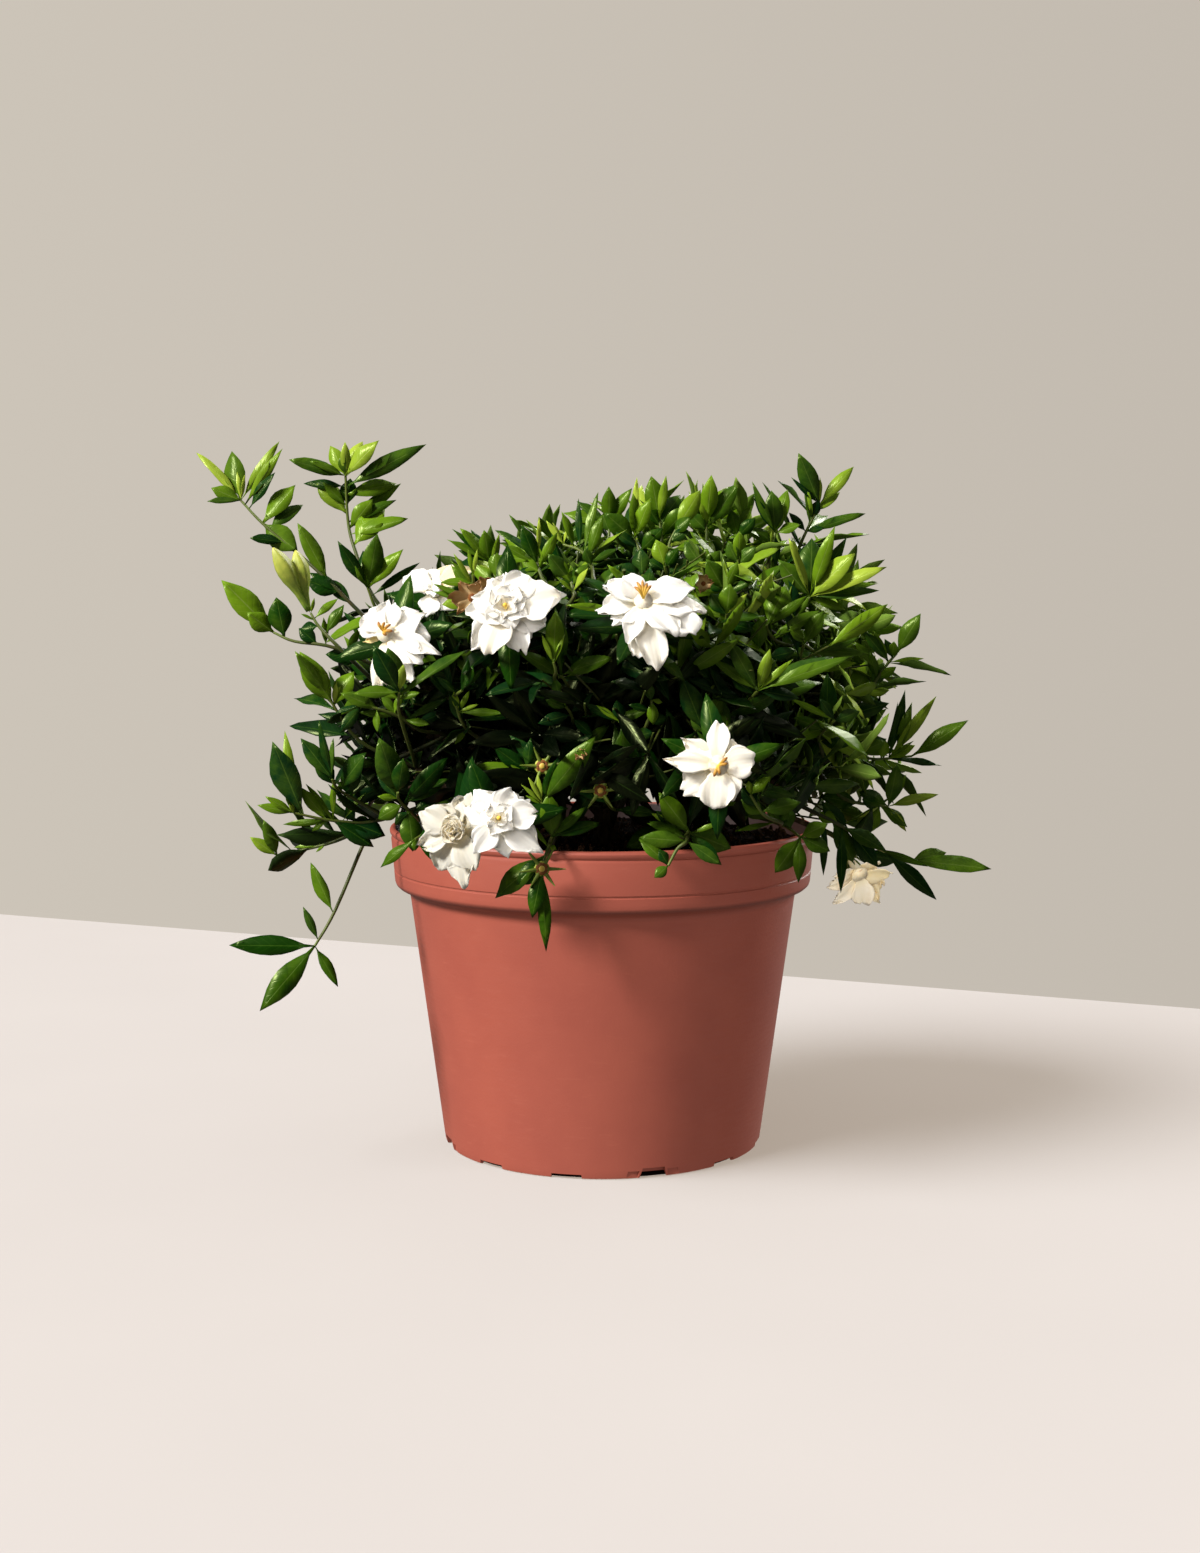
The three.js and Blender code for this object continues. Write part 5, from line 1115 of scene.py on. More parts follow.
def crown_lines():
    taken = [spot(*stem[-1]) for branches in HAND_SHOOTS.values() for stem, leaves in branches]
    taken += [spot(*flower["at"]) for flower in FLOWERS.values()]
    lines = []
    for index in range(RULE_TRIES):
        out = golden_way(index, RULE_TRIES) * CROWN_REACH
        tip, root = CROWN + out * TIP_SHARE, CROWN + out * ROOT_SHARE
        if all((other - tip).length > ROOM for other in taken):
            lines.append([root, tip])
    return lines


CARRIERS = {f"crown_{index + 1}": line for index, line in enumerate(crown_lines())}
print("crown shoots:", len(CARRIERS))
for name, branches in HAND_SHOOTS.items():
    CARRIERS[name] = [spot(*place) for place in branches[0][0]]

# %% [markdown]
# Leaves must not grow where there is no room. A leaf is tried at a few points along it: they stay inside the
# solid model's box, off the pot's wall and its front rim, and out of the view of the flowers.

# %% Where no leaf may stand
CAMERA_AT = spot(-1.24, -958.5, 268)
MOUTH_RADIUS, MOUTH_TOP = 97, 147  # over the soil, leaves keep above this height
LIP_RADIUS, LIP_TOP = 106, 156  # and over the lip above this one
FRONT_RADIUS, FRONT_SIDE, FRONT_TOP = 93, 112, 161  # the front of the rim stays in view


def hides_flower(place):
    """True where the place stands before a flower, as seen from the camera."""
    sight = place - CAMERA_AT
    for flower in FLOWERS.values():
        heart = spot(*flower["at"]) - CAMERA_AT
        if sight.length < heart.length + 6 * MM:
            if heart.cross(sight.normalized()).length < flower["clear"] * MM:
                return True
    return False


def in_the_way(place):
    x, y, z = place / MM
    radius = math.hypot(x, y)
    low, high = CAD_LOW / MM, CAD_HIGH / MM
    outside_box = not all(low[axis] + 1 < place[axis] / MM < high[axis] - 1 for axis in range(3))
    in_pot = radius < MOUTH_RADIUS and z < MOUTH_TOP or MOUTH_RADIUS <= radius < LIP_RADIUS and z < LIP_TOP
    over_rim = z < FRONT_TOP and y < -20 and abs(x) < FRONT_SIDE and radius > FRONT_RADIUS
    return outside_box or in_pot or over_rim or hides_flower(place)


# %% [markdown]
# They also keep apart from the leaves that already grow. Those are found quickly, because each is noted
# under the small cell of space that it stands in.

# %% Apart from other leaves
APART = 2.9 * MM
CELL = 6 * MM
grown = {}


def cell_of(place):
    return tuple(math.floor(axis / CELL) for axis in place)


def near_leaf(place):
    x, y, z = cell_of(place)
    for cell in ((x + i, y + j, z + k) for i in (-1, 0, 1) for j in (-1, 0, 1) for k in (-1, 0, 1)):
        if any((other - place).length < APART for other in grown.get(cell, ())):
            return True
    return False


def leaf_points(foot, tip):
    return [foot.lerp(tip, share) for share in (0.35, 0.7, 1.0)]


def take_room(foot, tip):
    for place in leaf_points(foot, tip):
        grown.setdefault(cell_of(place), []).append(place)


# %% [markdown]
# A leaf that grows by rule must not hide one that was told apart. So the view is cut into small cells too,
# and each keeps how far forward the leaf told apart in it stands.

# %% Not before a leaf told apart
SIGHT_CELL = 0.004  # as a share of the distance from the camera
SIGHT_STEPS = 7
told_apart = {}


def sight_cell(place):
    way = place - CAMERA_AT
    return math.floor(way.x / way.y / SIGHT_CELL), math.floor(way.z / way.y / SIGHT_CELL)


def take_view(foot, tip):
    for step in range(SIGHT_STEPS):
        place = foot.lerp(tip, (step + 0.5) / SIGHT_STEPS)
        told_apart[sight_cell(place)] = max(place.y, told_apart.get(sight_cell(place), -1))


def hides_leaf(place):
    """True where the place stands before a leaf told apart in the photograph, as seen from the camera."""
    return place.y < told_apart.get(sight_cell(place), -1)


def has_room(foot, tip):
    return not any(in_the_way(place) or near_leaf(place) or hides_leaf(place)
                   for place in leaf_points(foot, tip))


# %% [markdown]
# The crown isn't a plain ellipsoid: its right shoulder and its back are fuller, and its top left is lower.

# %% The crown's outline
STICK_OUT = 1.1


def crown_size(way):
    """How far the crown's outline lies out on a way from its middle, as a share of the ellipsoid's reach."""
    fuller = 0.24 * max(0.0, way.x) * max(0.0, way.z) + 0.16 * max(0.0, way.y)
    lower = 0.24 * max(0.0, 0.3 - way.x) * max(0.0, way.z) ** 2
    return 1 + fuller - lower


def sticks_out(tip):
    """True where a leaf's tip lies well above the crown's outline."""
    out = Vector([(tip[axis] - CROWN[axis]) / CROWN_REACH[axis] for axis in range(3)])
    return out.z > 0.5 and out.length > STICK_OUT * crown_size(out.normalized())


# %% [markdown]
# ## The shoots
# Leaves of a gardenia sit in pairs, each pair turned a right angle from the last, and crowd into a star at
# the tip, where they are small and light. Shoots told apart in the photograph come first, so that the rest
# gives way to them.

# %% Leaves told apart
LEAF_WIDTHS = (0.19, 0.27)  # least and greatest width of a leaf, as a share of its length
TOLD_WIDTH = 1.15  # a leaf lies aslant to the camera, so it is a little wider than it looks


def grow_told(growth, stem, leaves, usual_youth_and_painted_light, draw):
    """A stem and its leaves as told apart in the photograph."""
    line = smooth_line(stem)
    growth.add_stem(line, (1.1 * MM, 0.6 * MM), (0.0, 0.6))
    for back, x, z, *more in sorted(leaves, key=lambda leaf: leaf[0]):
        foot = point_back(line, back * MM)[0]
        reach = math.hypot(x * MM - foot.x, z * MM - foot.z)
        tip = Vector((x * MM, foot.y + draw(-0.35, 0.25) * reach, min(z * MM, CAD_HIGH.z - 1.5 * MM)))
        upward = Vector((draw(-0.4, 0.4), -1, draw(0.0, 0.7)))
        # a leaf's paleness, listed or usual, stands for its youth and for painted light
        usual = [usual_youth_and_painted_light + draw(-0.12, 0.16), draw(*LEAF_WIDTHS)]
        youth_and_painted_light, broad = [value / 100 for value in more] or usual
        width = (tip - foot).length * broad * TOLD_WIDTH
        growth.add_leaf(foot, tip, upward, width, youth_and_painted_light, draw(-0.04, 0.12))
        take_room(foot, tip)
        take_view(foot, tip)


# %% Pairs of leaves
PAIR_STEP = 7.5 * MM
LOW = 178 * MM  # below this height no leaf by rule hangs down


def add_pair(growth, line, back, first, draw, opening, size, youth_and_painted_light):
    """Two leaves across from each other, so far back from the line's tip; returns how many found room."""
    foot, direction = point_back(line, back)
    start = direction.orthogonal().normalized()
    count = 0
    for half in (0, 180):
        side = Quaternion(direction, math.radians(first + half + draw(-20, 20))) @ start
        angle = math.radians(opening + draw(-12, 12))
        length = size * draw(0.82, 1.12)
        tip = foot + (direction * math.cos(angle) + side * math.sin(angle)) * length + spot(0, 0, draw(-2, 3))
        hangs = tip.z < foot.z - 6 * MM and foot.z < LOW
        if has_room(foot, tip) and not hangs and not sticks_out(tip):
            shade = youth_and_painted_light + draw(-0.3, 0.26)
            growth.add_leaf(foot, tip, direction, length * draw(*LEAF_WIDTHS), shade, draw(0.0, 0.14))
            take_room(foot, tip)
            count += 1
    return count


# %% [markdown]
# Some shoots stand in more light: their leaves are painted paler for it, as painted light, and for their
# youth. Between the leaves told apart, pairs fill what is left of a shoot's stems, but not on the shoots that
# are seen whole.

# %% Grow the shoots told apart
USUAL_YOUTH_AND_PAINTED_LIGHT = {
    "far_left": 0.36, "high_left": 0.42, "mid_left": 0.3, "spire": 0.3, "upper_right": 0.32, "right": 0.34,
    "right_mid": 0.32, "right_low": 0.3, "rim_left": 0.2, "low_left": 0.2, "budding": 0.2, "trailing": 0.16,
}
SEEN_WHOLE = ("trailing", "far_left", "mid_left", "right_low", "budding")
FILL_OPENING = 62
FILL_LENGTH = 33 * MM


def fill_hand_shoot(growth, name, draw):
    """Pairs of leaves along the stems, where the listed leaves leave room."""
    count = 0
    for stem, leaves in HAND_SHOOTS[name]:
        line = smooth_line([spot(*place) for place in stem])
        length = sum((far - near).length for near, far in zip(line, line[1:]))
        for step in range(1, int(length / PAIR_STEP)):
            youth_and_painted_light = USUAL_YOUTH_AND_PAINTED_LIGHT.get(name, 0.05) - 0.05 * step
            count += add_pair(growth, line, step * PAIR_STEP, 90 * step + draw(0, 40), draw, FILL_OPENING,
                              FILL_LENGTH, youth_and_painted_light)
    return count


def nearest_carrier(place):
    """The stem that passes nearest to a place, and the point on it."""
    best = None
    for name, line in CARRIERS.items():
        for share in (0.15, 0.3, 0.45, 0.6):
            point = point_back(line, (line[-1] - line[0]).length * (1 - share))[0]
            distance = (point - place).length
            if best is None or distance < best[0]:
                best = distance, name, point
    return best[1], best[2]


growths = {name: Growth() for name in CARRIERS}
for index, (name, branches) in enumerate(HAND_SHOOTS.items()):
    for stem, leaves in branches:
        line = [spot(*place) for place in stem]
        grow_told(growths[name], line, leaves, USUAL_YOUTH_AND_PAINTED_LIGHT.get(name, 0.08), drawer(40 + index))
for index, (stem, leaves) in enumerate(SPRIGS):
    line = [spot(*place) for place in stem]
    name, root = nearest_carrier(line[0])
    grow_told(growths[name], [root, *line], leaves, 0.1, drawer(500 + index))
fillers = [fill_hand_shoot(growths[name], name, drawer(140 + index))
           for index, name in enumerate(HAND_SHOOTS) if name not in SEEN_WHOLE]
placed = [len(leaves) for branches in HAND_SHOOTS.values() for stem, leaves in branches]
placed += [len(leaves) for stem, leaves in SPRIGS]
print("leaves told apart:", sum(placed), "and added between them:", sum(fillers))


# %% [markdown]
# A shoot by rule grows from the nearest carrying stem. Its leaves that find no room are left out, as a real
# bush drops the leaves it shades.

# %% Shoots by rule
TIP_TURN = 75  # degrees from one pair of tip leaves to the next


def grow_shoot(growth, line, draw, pairs, youth_and_painted_light, tip_pairs):
    """A shoot along a line, with pairs of leaves back from its tip; returns how many leaves it got."""
    first = draw(0, 360)
    count = 0
    for step in range(tip_pairs):
        count += add_pair(growth, line, 0.5 * MM, first + 45 + TIP_TURN * step, draw, draw(32, 74),
                          draw(22, 35) * MM, youth_and_painted_light + 0.16)
    for step in range(pairs):
        share = step / max(pairs - 1, 1)
        count += add_pair(growth, line, 3 * MM + step * PAIR_STEP, first + 90 * step, draw,
                          blend(54, 84, share), blend(29, 38, share) * MM, youth_and_painted_light - 0.14 * share)
    return count


def grow_layer(count, seed, depth, pairs, youth_and_painted_light, tip_pairs):
    """A layer of shoots whose tips lie at the given share of the way out to the crown's outline."""
    draw = drawer(seed)
    total = 0
    for index in range(count):
        way = golden_way(index + draw(-0.4, 0.4), count, 0.98, 1.38)
        tip = CROWN + way * CROWN_REACH * crown_size(way) * draw(*depth)
        inner = tip.lerp(CROWN, 0.28) + Vector([draw(-14, 14) * MM for axis in range(3)])
        name, root = nearest_carrier(inner.lerp(CROWN, 0.1))
        line = smooth_line([root, inner, tip], 6)
        # painted light and painted shade: leaves at the top and right of the crown are painted paler, those
        # at its front below the middle darker
        light = 0.46 * max(0.0, way.z) ** 1.3 + 0.6 * max(0.0, way.x)
        light -= 0.55 * max(0.0, -way.y) * (1 - max(0.0, way.z)) * (1 - max(0.0, way.x))
        got = grow_shoot(growths[name], line, draw, pairs, draw(*youth_and_painted_light) + light, tip_pairs)
        if got:
            growths[name].add_stem(line, (0.8 * MM, 0.4 * MM), (0.0, 0.3))
        total += got
    return total


outer = grow_layer(count=260, seed=7, depth=(0.74, 0.88), pairs=4, youth_and_painted_light=(-0.2, 0.08), tip_pairs=2)
# painted shade: the inner layer's leaves are painted near black
inner = grow_layer(count=150, seed=8, depth=(0.4, 0.7), pairs=4, youth_and_painted_light=(-0.7, -0.45), tip_pairs=0)
print("outer leaves:", outer, "inner leaves:", inner)
for name, line in CARRIERS.items():
    if name not in HAND_SHOOTS:
        growths[name].add_stem(smooth_line(line, 6), (1.5 * MM, 0.9 * MM), (0.0, 0.3))

# %% Make the shoots
shoots = {name: grow_piece("shoot_" + name, growth) for name, growth in growths.items()}
print("faces in the shoots:", sum(len(shoot.data.polygons) for shoot in shoots.values()))

# %% [markdown]
# ## Skins over rings
# Petals, tubes, stamens and buds are closed skins over rings of points. A petal's ring runs across its upper
# face and back across its lower one. `Flesh` gathers such skins for one piece.

# %% Flesh: closed skins for one piece
class Flesh:
    def __init__(self):
        self.mesh = bmesh.new()
        self.fact = self.mesh.verts.layers.float_vector.new("petal")
        self.materials = []

    def add(self, rings, facts, material):
        """A skin over rings of places, with facts (across, along, age) for each point of each ring."""
        if material not in self.materials:
            self.materials.append(material)
        rows = []
        for ring, ring_facts in zip(rings, facts):
            row = []
            for place, fact in zip(ring, ring_facts):
                corner = self.mesh.verts.new(place)
                corner[self.fact] = fact
                row.append(corner)
            rows.append(row)
        count = len(rows[0])
        faces = []
        for near, far in zip(rows, rows[1:]):
            for side in range(count):
                after = (side + 1) % count
                faces.append([near[side], near[after], far[after], far[side]])
        for row in (rows[0][::-1], rows[-1]):
            for side in range(count // 2 - 1):
                faces.append([row[side], row[side + 1], row[count - 2 - side], row[count - 1 - side]])
        for corners in faces:
            face = self.mesh.faces.new(corners)
            face.smooth = True
            face.material_index = self.materials.index(material)

    def add_tube(self, line, radii, material, age=0.0, sides=8, ribs=0.0):
        """A round tube along a line; ribs is the depth of a slow spiral on it."""
        rings, facts = [], []
        across = (line[1] - line[0]).orthogonal().normalized()
        last = len(line) - 1
        for index, (place, radius) in enumerate(zip(line, radii)):
            way = (line[min(index + 1, last)] - line[max(index - 1, 0)]).normalized()
            across = (across - way * across.dot(way)).normalized()
            over = way.cross(across)
            ring = []
            for side in range(sides):
                turn = 2 * math.pi * side / sides
                size = radius * (1 + ribs * math.cos(5 * turn + 4.0 * index / last))
                ring.append(place + (across * math.cos(turn) + over * math.sin(turn)) * size)
            rings.append(ring)
            facts.append([(0, index / last, age)] * sides)
        self.add(rings, facts, material)

    def piece(self, name):
        bmesh.ops.recalc_face_normals(self.mesh, faces=self.mesh.faces)
        data = bpy.data.meshes.new(name)
        self.mesh.to_mesh(data)
        self.mesh.free()
        for material in self.materials:
            data.materials.append(material)
        return new_piece(name, data)


# %% [markdown]
# ## The flowers
# A gardenia's petals leave a narrow claw, widen towards their blunt end, cup a little and curl back, and
# their edge waves. A grid of points follows that outline; the thin skin over both its faces is the petal.

# %% One petal
PETAL_ROWS = 12
PETAL_COLUMNS = 13
PETAL_THICKNESS = 0.5 * MM
PETAL_OUTLINE = [(0.0, 0.24), (0.22, 0.6), (0.5, 0.94), (0.68, 1.0)]


def outline_width(along, end):
    """Half the width of a petal there, as a share of its greatest half width."""
    points = PETAL_OUTLINE + [(0.87, blend(0.6, 0.97, end)), (1.0, end * 0.85)]
    for (low, first), (high, second) in zip(points, points[1:]):
        if along <= high:
            share = (along - low) / (high - low)
            return first + (second - first) * share * share * (3 - 2 * share)
    return points[-1][1]


def add_petal(flesh, foot, tip, upward, width, draw, end=0.6, age=0.0, cup=0.12, curl=0.1, notch=0.05,
              ruffle=0.04, jag=0.03, skin=PETAL):
    """A petal from its foot to its tip. Cup, curl, notch, ruffle and jag are shares of its length."""
    way = (tip - foot).normalized()
    length = (tip - foot).length
    normal = (upward - way * upward.dot(way)).normalized()
    side = way.cross(normal)
    phase, beat = draw(0, 6.28), draw(4, 7)
    lean, twist = draw(-0.1, 0.1), draw(-0.35, 0.35)
    slow, quick = draw(0, 6.28), draw(0, 6.28)
    rings, facts = [], []
    for row in range(PETAL_ROWS):
        v = row / (PETAL_ROWS - 1)
        half = width / 2 * outline_width(v, end)
        across_way = side * math.cos(twist * v) + normal * math.sin(twist * v)
        top, bottom, across = [], [], []
        for column in range(PETAL_COLUMNS):
            u = 2 * column / (PETAL_COLUMNS - 1) - 1
            uneven = math.sin(2.6 * u + slow) + 0.45 * math.sin(7.5 * u + quick)
            reach = v - 0.1 * v * u * u * (1 + 0.4 * v) + jag * uneven * v ** 4
            reach -= notch * math.exp(-(u / 0.25) ** 2) * v ** 8
            wave = ruffle * length * v * v * math.sin(beat * u + phase) * (0.4 + abs(u))
            lift = cup * length * u * u * v - curl * length * v ** 3 + wave
            lift += 0.14 * length * v * (1 - v) - 0.025 * length * math.exp(-(u / 0.2) ** 2) * v
            place = foot + way * length * reach + across_way * half * u
            place += side * lean * length * v * v + normal * lift
            thick = PETAL_THICKNESS * (0.5 - 0.25 * abs(u) ** 3)
            top.append(place + normal * thick)
            bottom.append(place - normal * thick)
            across.append(u)
        rings.append(top + bottom[::-1])
        facts.append([(u, v, age) for u in across + across[::-1]])
    flesh.add(rings, facts, skin)


# %% Ways out from a flower's heart
def petal_way(heading, reach, faces):
    """The way from a flower's heart to a petal's tip that reaches so far as seen from the front."""
    across, up = math.cos(math.radians(heading)), math.sin(math.radians(heading))
    lean = -(faces.x * across + faces.z * up) / min(faces.y, -0.3)
    return Vector((across, max(-0.35, min(0.5, lean)), up)) * reach * MM


def ring_ways(faces, count, draw):
    """A number of ways round a flower's heart, square to where it faces."""
    side = faces.cross(Vector((0, 0, 1))).normalized()
    return [Quaternion(faces, 2 * math.pi * (index + draw(-0.15, 0.15)) / count) @ side
            for index in range(count)]


# %% [markdown]
# A flower stands on a slim tube. Its open petals lie in three layers, one behind another. In its heart stand
# two rings of smaller petals, or a rose of rolled ones, or nothing but stamens, as each flower's list says.

# %% The heart of a flower
ROSE_PETALS = 14
STAMEN_RADII = [size * MM for size in (0.5, 0.55, 0.6, 0.7, 0.75, 0.65, 0.3)]
PISTIL_FORM = [(0, 0.7), (2.5, 0.7), (4, 1.1), (5.2, 1.0), (5.8, 0.4)]


def add_rose(flesh, centre, faces, draw):
    """Rolled petals in a spiral, narrow and upright in the middle, wider and lower outwards."""
    for step in range(ROSE_PETALS):
        way = Quaternion(faces, math.radians(GOLDEN_ANGLE * step)) @ ring_ways(faces, 1, draw)[0]
        radius = (0.8 + 0.42 * step) * MM
        foot = centre + way * radius * 0.5
        tip = centre + way * radius + faces * (7.0 - 0.22 * step) * MM
        add_petal(flesh, foot, tip, -way, (3.2 + 0.62 * step) * MM, draw, 0.8,
                  blend(0.6, 0.25, step / ROSE_PETALS), cup=0.42, curl=0.12, notch=0, ruffle=0.03)


def add_inner_petals(flesh, centre, faces, draw, flower, age):
    """Two rings of small petals round the heart; their sizes are shares of the heart's radius."""
    heart, inner = flower["heart"] * MM, flower["inner"]
    for count, out, rise, size, cup, curl in ((inner, 1.15, 0.5, 1.5, 0.3, 0.3),
                                              (inner - 2, 0.62, 0.62, 0.95, 0.42, 0.16)):
        for way in ring_ways(faces, count, draw):
            foot = centre + way * heart * 0.12
            tip = centre + way * heart * out + faces * heart * rise * draw(0.8, 1.2)
            add_petal(flesh, foot, tip, faces - way * 0.4, heart * size * draw(0.85, 1.1), draw,
                      draw(0.3, 0.8), age, cup=cup, curl=curl)


# %% Whole flowers
TUBE_LENGTH = 13 * MM
TUBE_FORM = [(-1, 1.6), (-0.6, 1.8), (-0.3, 2.4), (-0.1, 3.6), (0.04, 4.2)]
LAYER_GAP = 2.0 * MM
OPEN_WIDTH = 1.12  # an open petal lies aslant, so it is a little wider than it looks


def grow_flower(name, flower, seed):
    draw = drawer(seed)
    flesh = Flesh()
    centre, faces = spot(*flower["at"]), Vector(flower["faces"]).normalized()
    age = flower.get("age", 0.0)
    tube = [centre + faces * TUBE_LENGTH * share for share, radius in TUBE_FORM]
    flesh.add_tube(tube, [radius * MM for share, radius in TUBE_FORM], PETAL, 0.35 + age / 2, 12)
    for index, (heading, reach, width, *more) in enumerate(flower["petals"]):
        end, own_age = (more + [0.6, age][len(more):])[:2]
        layer = -LAYER_GAP * (index % 3)
        way = petal_way(heading, reach, faces)
        foot = centre + faces * (layer - 0.4 * MM) + way.normalized() * 1.6 * MM
        tip = centre + way + faces * (layer + draw(-0.5, 2.5) * MM)
        add_petal(flesh, foot, tip, faces, width * OPEN_WIDTH * MM, draw, end, own_age,
                  ruffle=draw(0.05, 0.09), jag=draw(0.03, 0.08), notch=draw(-0.05, 0.12))
    if flower.get("rose"):
        add_rose(flesh, centre, faces, draw)
    elif flower["inner"]:
        add_inner_petals(flesh, centre, faces, draw, flower, age)
    for heading, reach in flower.get("stamens", ()):
        way = petal_way(heading, reach, faces)
        bend, end = centre + way * 0.5 + faces * 4.4 * MM, centre + way + faces * 4.2 * MM
        flesh.add_tube(smooth_line([centre + faces * 1.5 * MM, bend, end], 3), STAMEN_RADII, STAMEN, sides=6)
    if flower.get("pistil"):
        line = [centre + faces * step * MM for step, radius in PISTIL_FORM]
        flesh.add_tube(line, [radius * MM for step, radius in PISTIL_FORM], PISTIL, sides=8)
    piece = flesh.piece("flower_" + name)
    hand_over(piece, "petal", "bloom_" + name)
    return piece


flowers = {name: grow_flower(name, flower, 20 + index)
           for index, (name, flower) in enumerate(FLOWERS.items())}
print("faces in the flowers:", sum(len(piece.data.polygons) for piece in flowers.values()))


# %% [markdown]
# ## Spent flowers, stalks and buds
# Where a flower has fallen, its cup stays: a brown ring between thin green teeth. A few flowers have dried
# on the plant, and their shrunken petals hang on. A living flower stands on a green stalk, which ends in the
# same cup behind its petals and carries leaves just below it.

# %% Cups with teeth
TEETH = 6


def add_cup(growth, end, faces, draw, reach, spread):
    """Thin teeth round the end of a stalk, which reach so far forward and spread so far out."""
    for way in ring_ways(faces, TEETH, draw):
        tip = end + way * spread * draw(0.8, 1.1) * MM + faces * reach * draw(0.7, 1.2) * MM
        bend = end.lerp(tip, 0.5) + way * 1.4 * MM
        growth.add_stem(smooth_line([end + way * 0.6 * MM, bend, tip], 3), (1.1 * MM, 0.2 * MM), (0.8, 1.0))


SPENT_CUP = [(-6, 0.9), (-4, 1.3), (-1.5, 2.6), (0.0, 3.3), (0.7, 3.4), (0.9, 3.1), (0.5, 2.9)]
SPENT_DISC = [(0.3, 2.8), (1.0, 2.8), (1.4, 2.5), (1.2, 1.7)]
SPENT_MIDDLE = [(0.8, 1.4), (1.6, 1.3), (1.9, 0.8), (2.0, 0.2)]


def spent_ring(name, end, faces):
    flesh = Flesh()
    for profile, material in ((SPENT_CUP, BUD_SKIN), (SPENT_DISC, SPENT_RING), (SPENT_MIDDLE, PISTIL)):
        line = [end + faces * step * MM for step, radius in profile]
        flesh.add_tube(line, [radius * MM for step, radius in profile], material, sides=14)
    return flesh.piece(name)


# %% Dried flowers
DRIED_PETALS = 6
DRIED_CORE = [(-0.5, 0.06), (0.0, 0.16), (0.15, 0.18), (0.25, 0.05)]  # shares of the flower's size


def dried_flower(at, size, draw):
    """A browned flower: a few shrunken petals round a dark core."""
    flesh = Flesh()
    faces = Vector((draw(-0.3, 0.3), -1, draw(0.0, 0.5))).normalized()
    for way in ring_ways(faces, DRIED_PETALS, draw):
        tip = at + way * size * draw(0.6, 1.0) + faces * size * draw(0.0, 0.6)
        add_petal(flesh, at + way * size * 0.1, tip, faces, size * draw(0.5, 0.8), draw, draw(0.2, 0.8),
                  cup=0.3, curl=-0.2, ruffle=0.12, jag=0.12, skin=DRY_PETAL)
    line = [at + faces * size * share for share, radius in DRIED_CORE]
    flesh.add_tube(line, [size * radius for share, radius in DRIED_CORE], SPENT_RING)
    return flesh.piece("dried")


# %% Put them on their shoots
SPENT = ("spent_left", "spent_centre", "rim_spill")
SPENT_FACES = Vector((0, -1, 0.15)).normalized()
for index, name in enumerate(SPENT):
    end = spot(*HAND_SHOOTS[name][0][0][-1])
    teeth = Growth()
    add_cup(teeth, end, SPENT_FACES, drawer(70 + index), reach=3, spread=10)
    join(shoots[name], grow_piece("teeth", teeth), spent_ring("ring", end, SPENT_FACES))
for index, (at, size) in enumerate(DRIED):
    shoot = nearest_carrier(spot(*at))[0]
    join(shoots[shoot], dried_flower(spot(*at), size * MM, drawer(80 + index)))
for name, shoot in shoots.items():
    hand_over(shoot, "leaf", "spray_" + name)
print("spent cups:", len(SPENT), "dried flowers:", len(DRIED))

# %% Stalks
CLEAR = 0.3 * MM  # between one piece and the next
STALK_LENGTH = 16 * MM
STALK_ROOT = 14 * MM
stalk_leaves = 0


def stalk_root(behind):
    """Where a stalk starts: further in, towards the middle of the crown."""
    return behind + (CROWN - behind).normalized() * STALK_ROOT


for index, (name, flower) in enumerate(FLOWERS.items()):
    draw, growth = drawer(30 + index), Growth()
    faces = Vector(flower["faces"]).normalized()
    cup = spot(*flower["at"]) - faces * (TUBE_LENGTH + CLEAR)
    behind = cup - faces * STALK_LENGTH
    line = smooth_line([stalk_root(behind), behind, cup])
    growth.add_stem(line, (1.4 * MM, 1.3 * MM), (0.2, 0.7))
    growth.add_stem([cup - faces * 5 * MM, cup - faces * 2 * MM, cup], (1.2 * MM, 2.3 * MM), (0.7, 0.8))
    add_cup(growth, cup, faces, draw, reach=9, spread=4)
    side = faces.cross(Vector((0, 0, 1))).normalized()
    for step in (0, 1):
        for half in (0, 2):
            turn = Quaternion(faces, math.pi * (half + step + draw(-0.3, 0.3)) / 2)
            foot = cup - faces * (6 - 4 * step) * MM
            tip = cup + turn @ side * draw(27, 33) * MM + faces * draw(-4, 5) * MM
            if not in_the_way(tip):
                growth.add_leaf(foot, tip, faces, draw(8, 10) * MM, draw(-0.1, 0.15), draw(0, 0.12))
                stalk_leaves += 1
    hand_over(grow_piece("flower_stalk_" + name, growth), "leaf", "stalk_" + name)
print("leaves on the stalks:", stalk_leaves)

# %% [markdown]
# A bud is a spiral of rolled petals, green at its foot and pale yellow at its tip.

# %% Buds
BUD_BASE = spot(-131, -64.5, 256)
BUD_FORM = [(0, 1.1), (0.08, 1.3), (0.28, 1.7), (0.4, 2.6), (0.5, 3.6), (0.62, 4.1), (0.72, 4.0), (0.84, 3.0),
            (0.93, 1.7), (0.98, 0.8), (1.0, 0.2)]
flesh = Flesh()
for tip in (spot(-146, -68, 284), spot(-137, -61, 283)):
    line = [BUD_BASE.lerp(tip, share) for share, radius in BUD_FORM]
    flesh.add_tube(line, [radius * MM for share, radius in BUD_FORM], BUD_SKIN, sides=20, ribs=0.1)
buds = flesh.piece("flower_buds")
hand_over(buds, "bud", "buds")
print("buds:", len(buds.data.polygons), "faces")

# %% [markdown]
# ## The wood
# A short trunk stands in the soil and forks into ten boughs. A twig runs from them to the root of every
# shoot and stalk, so that all the green is carried. Each twig starts at the nearest free place on a bough.

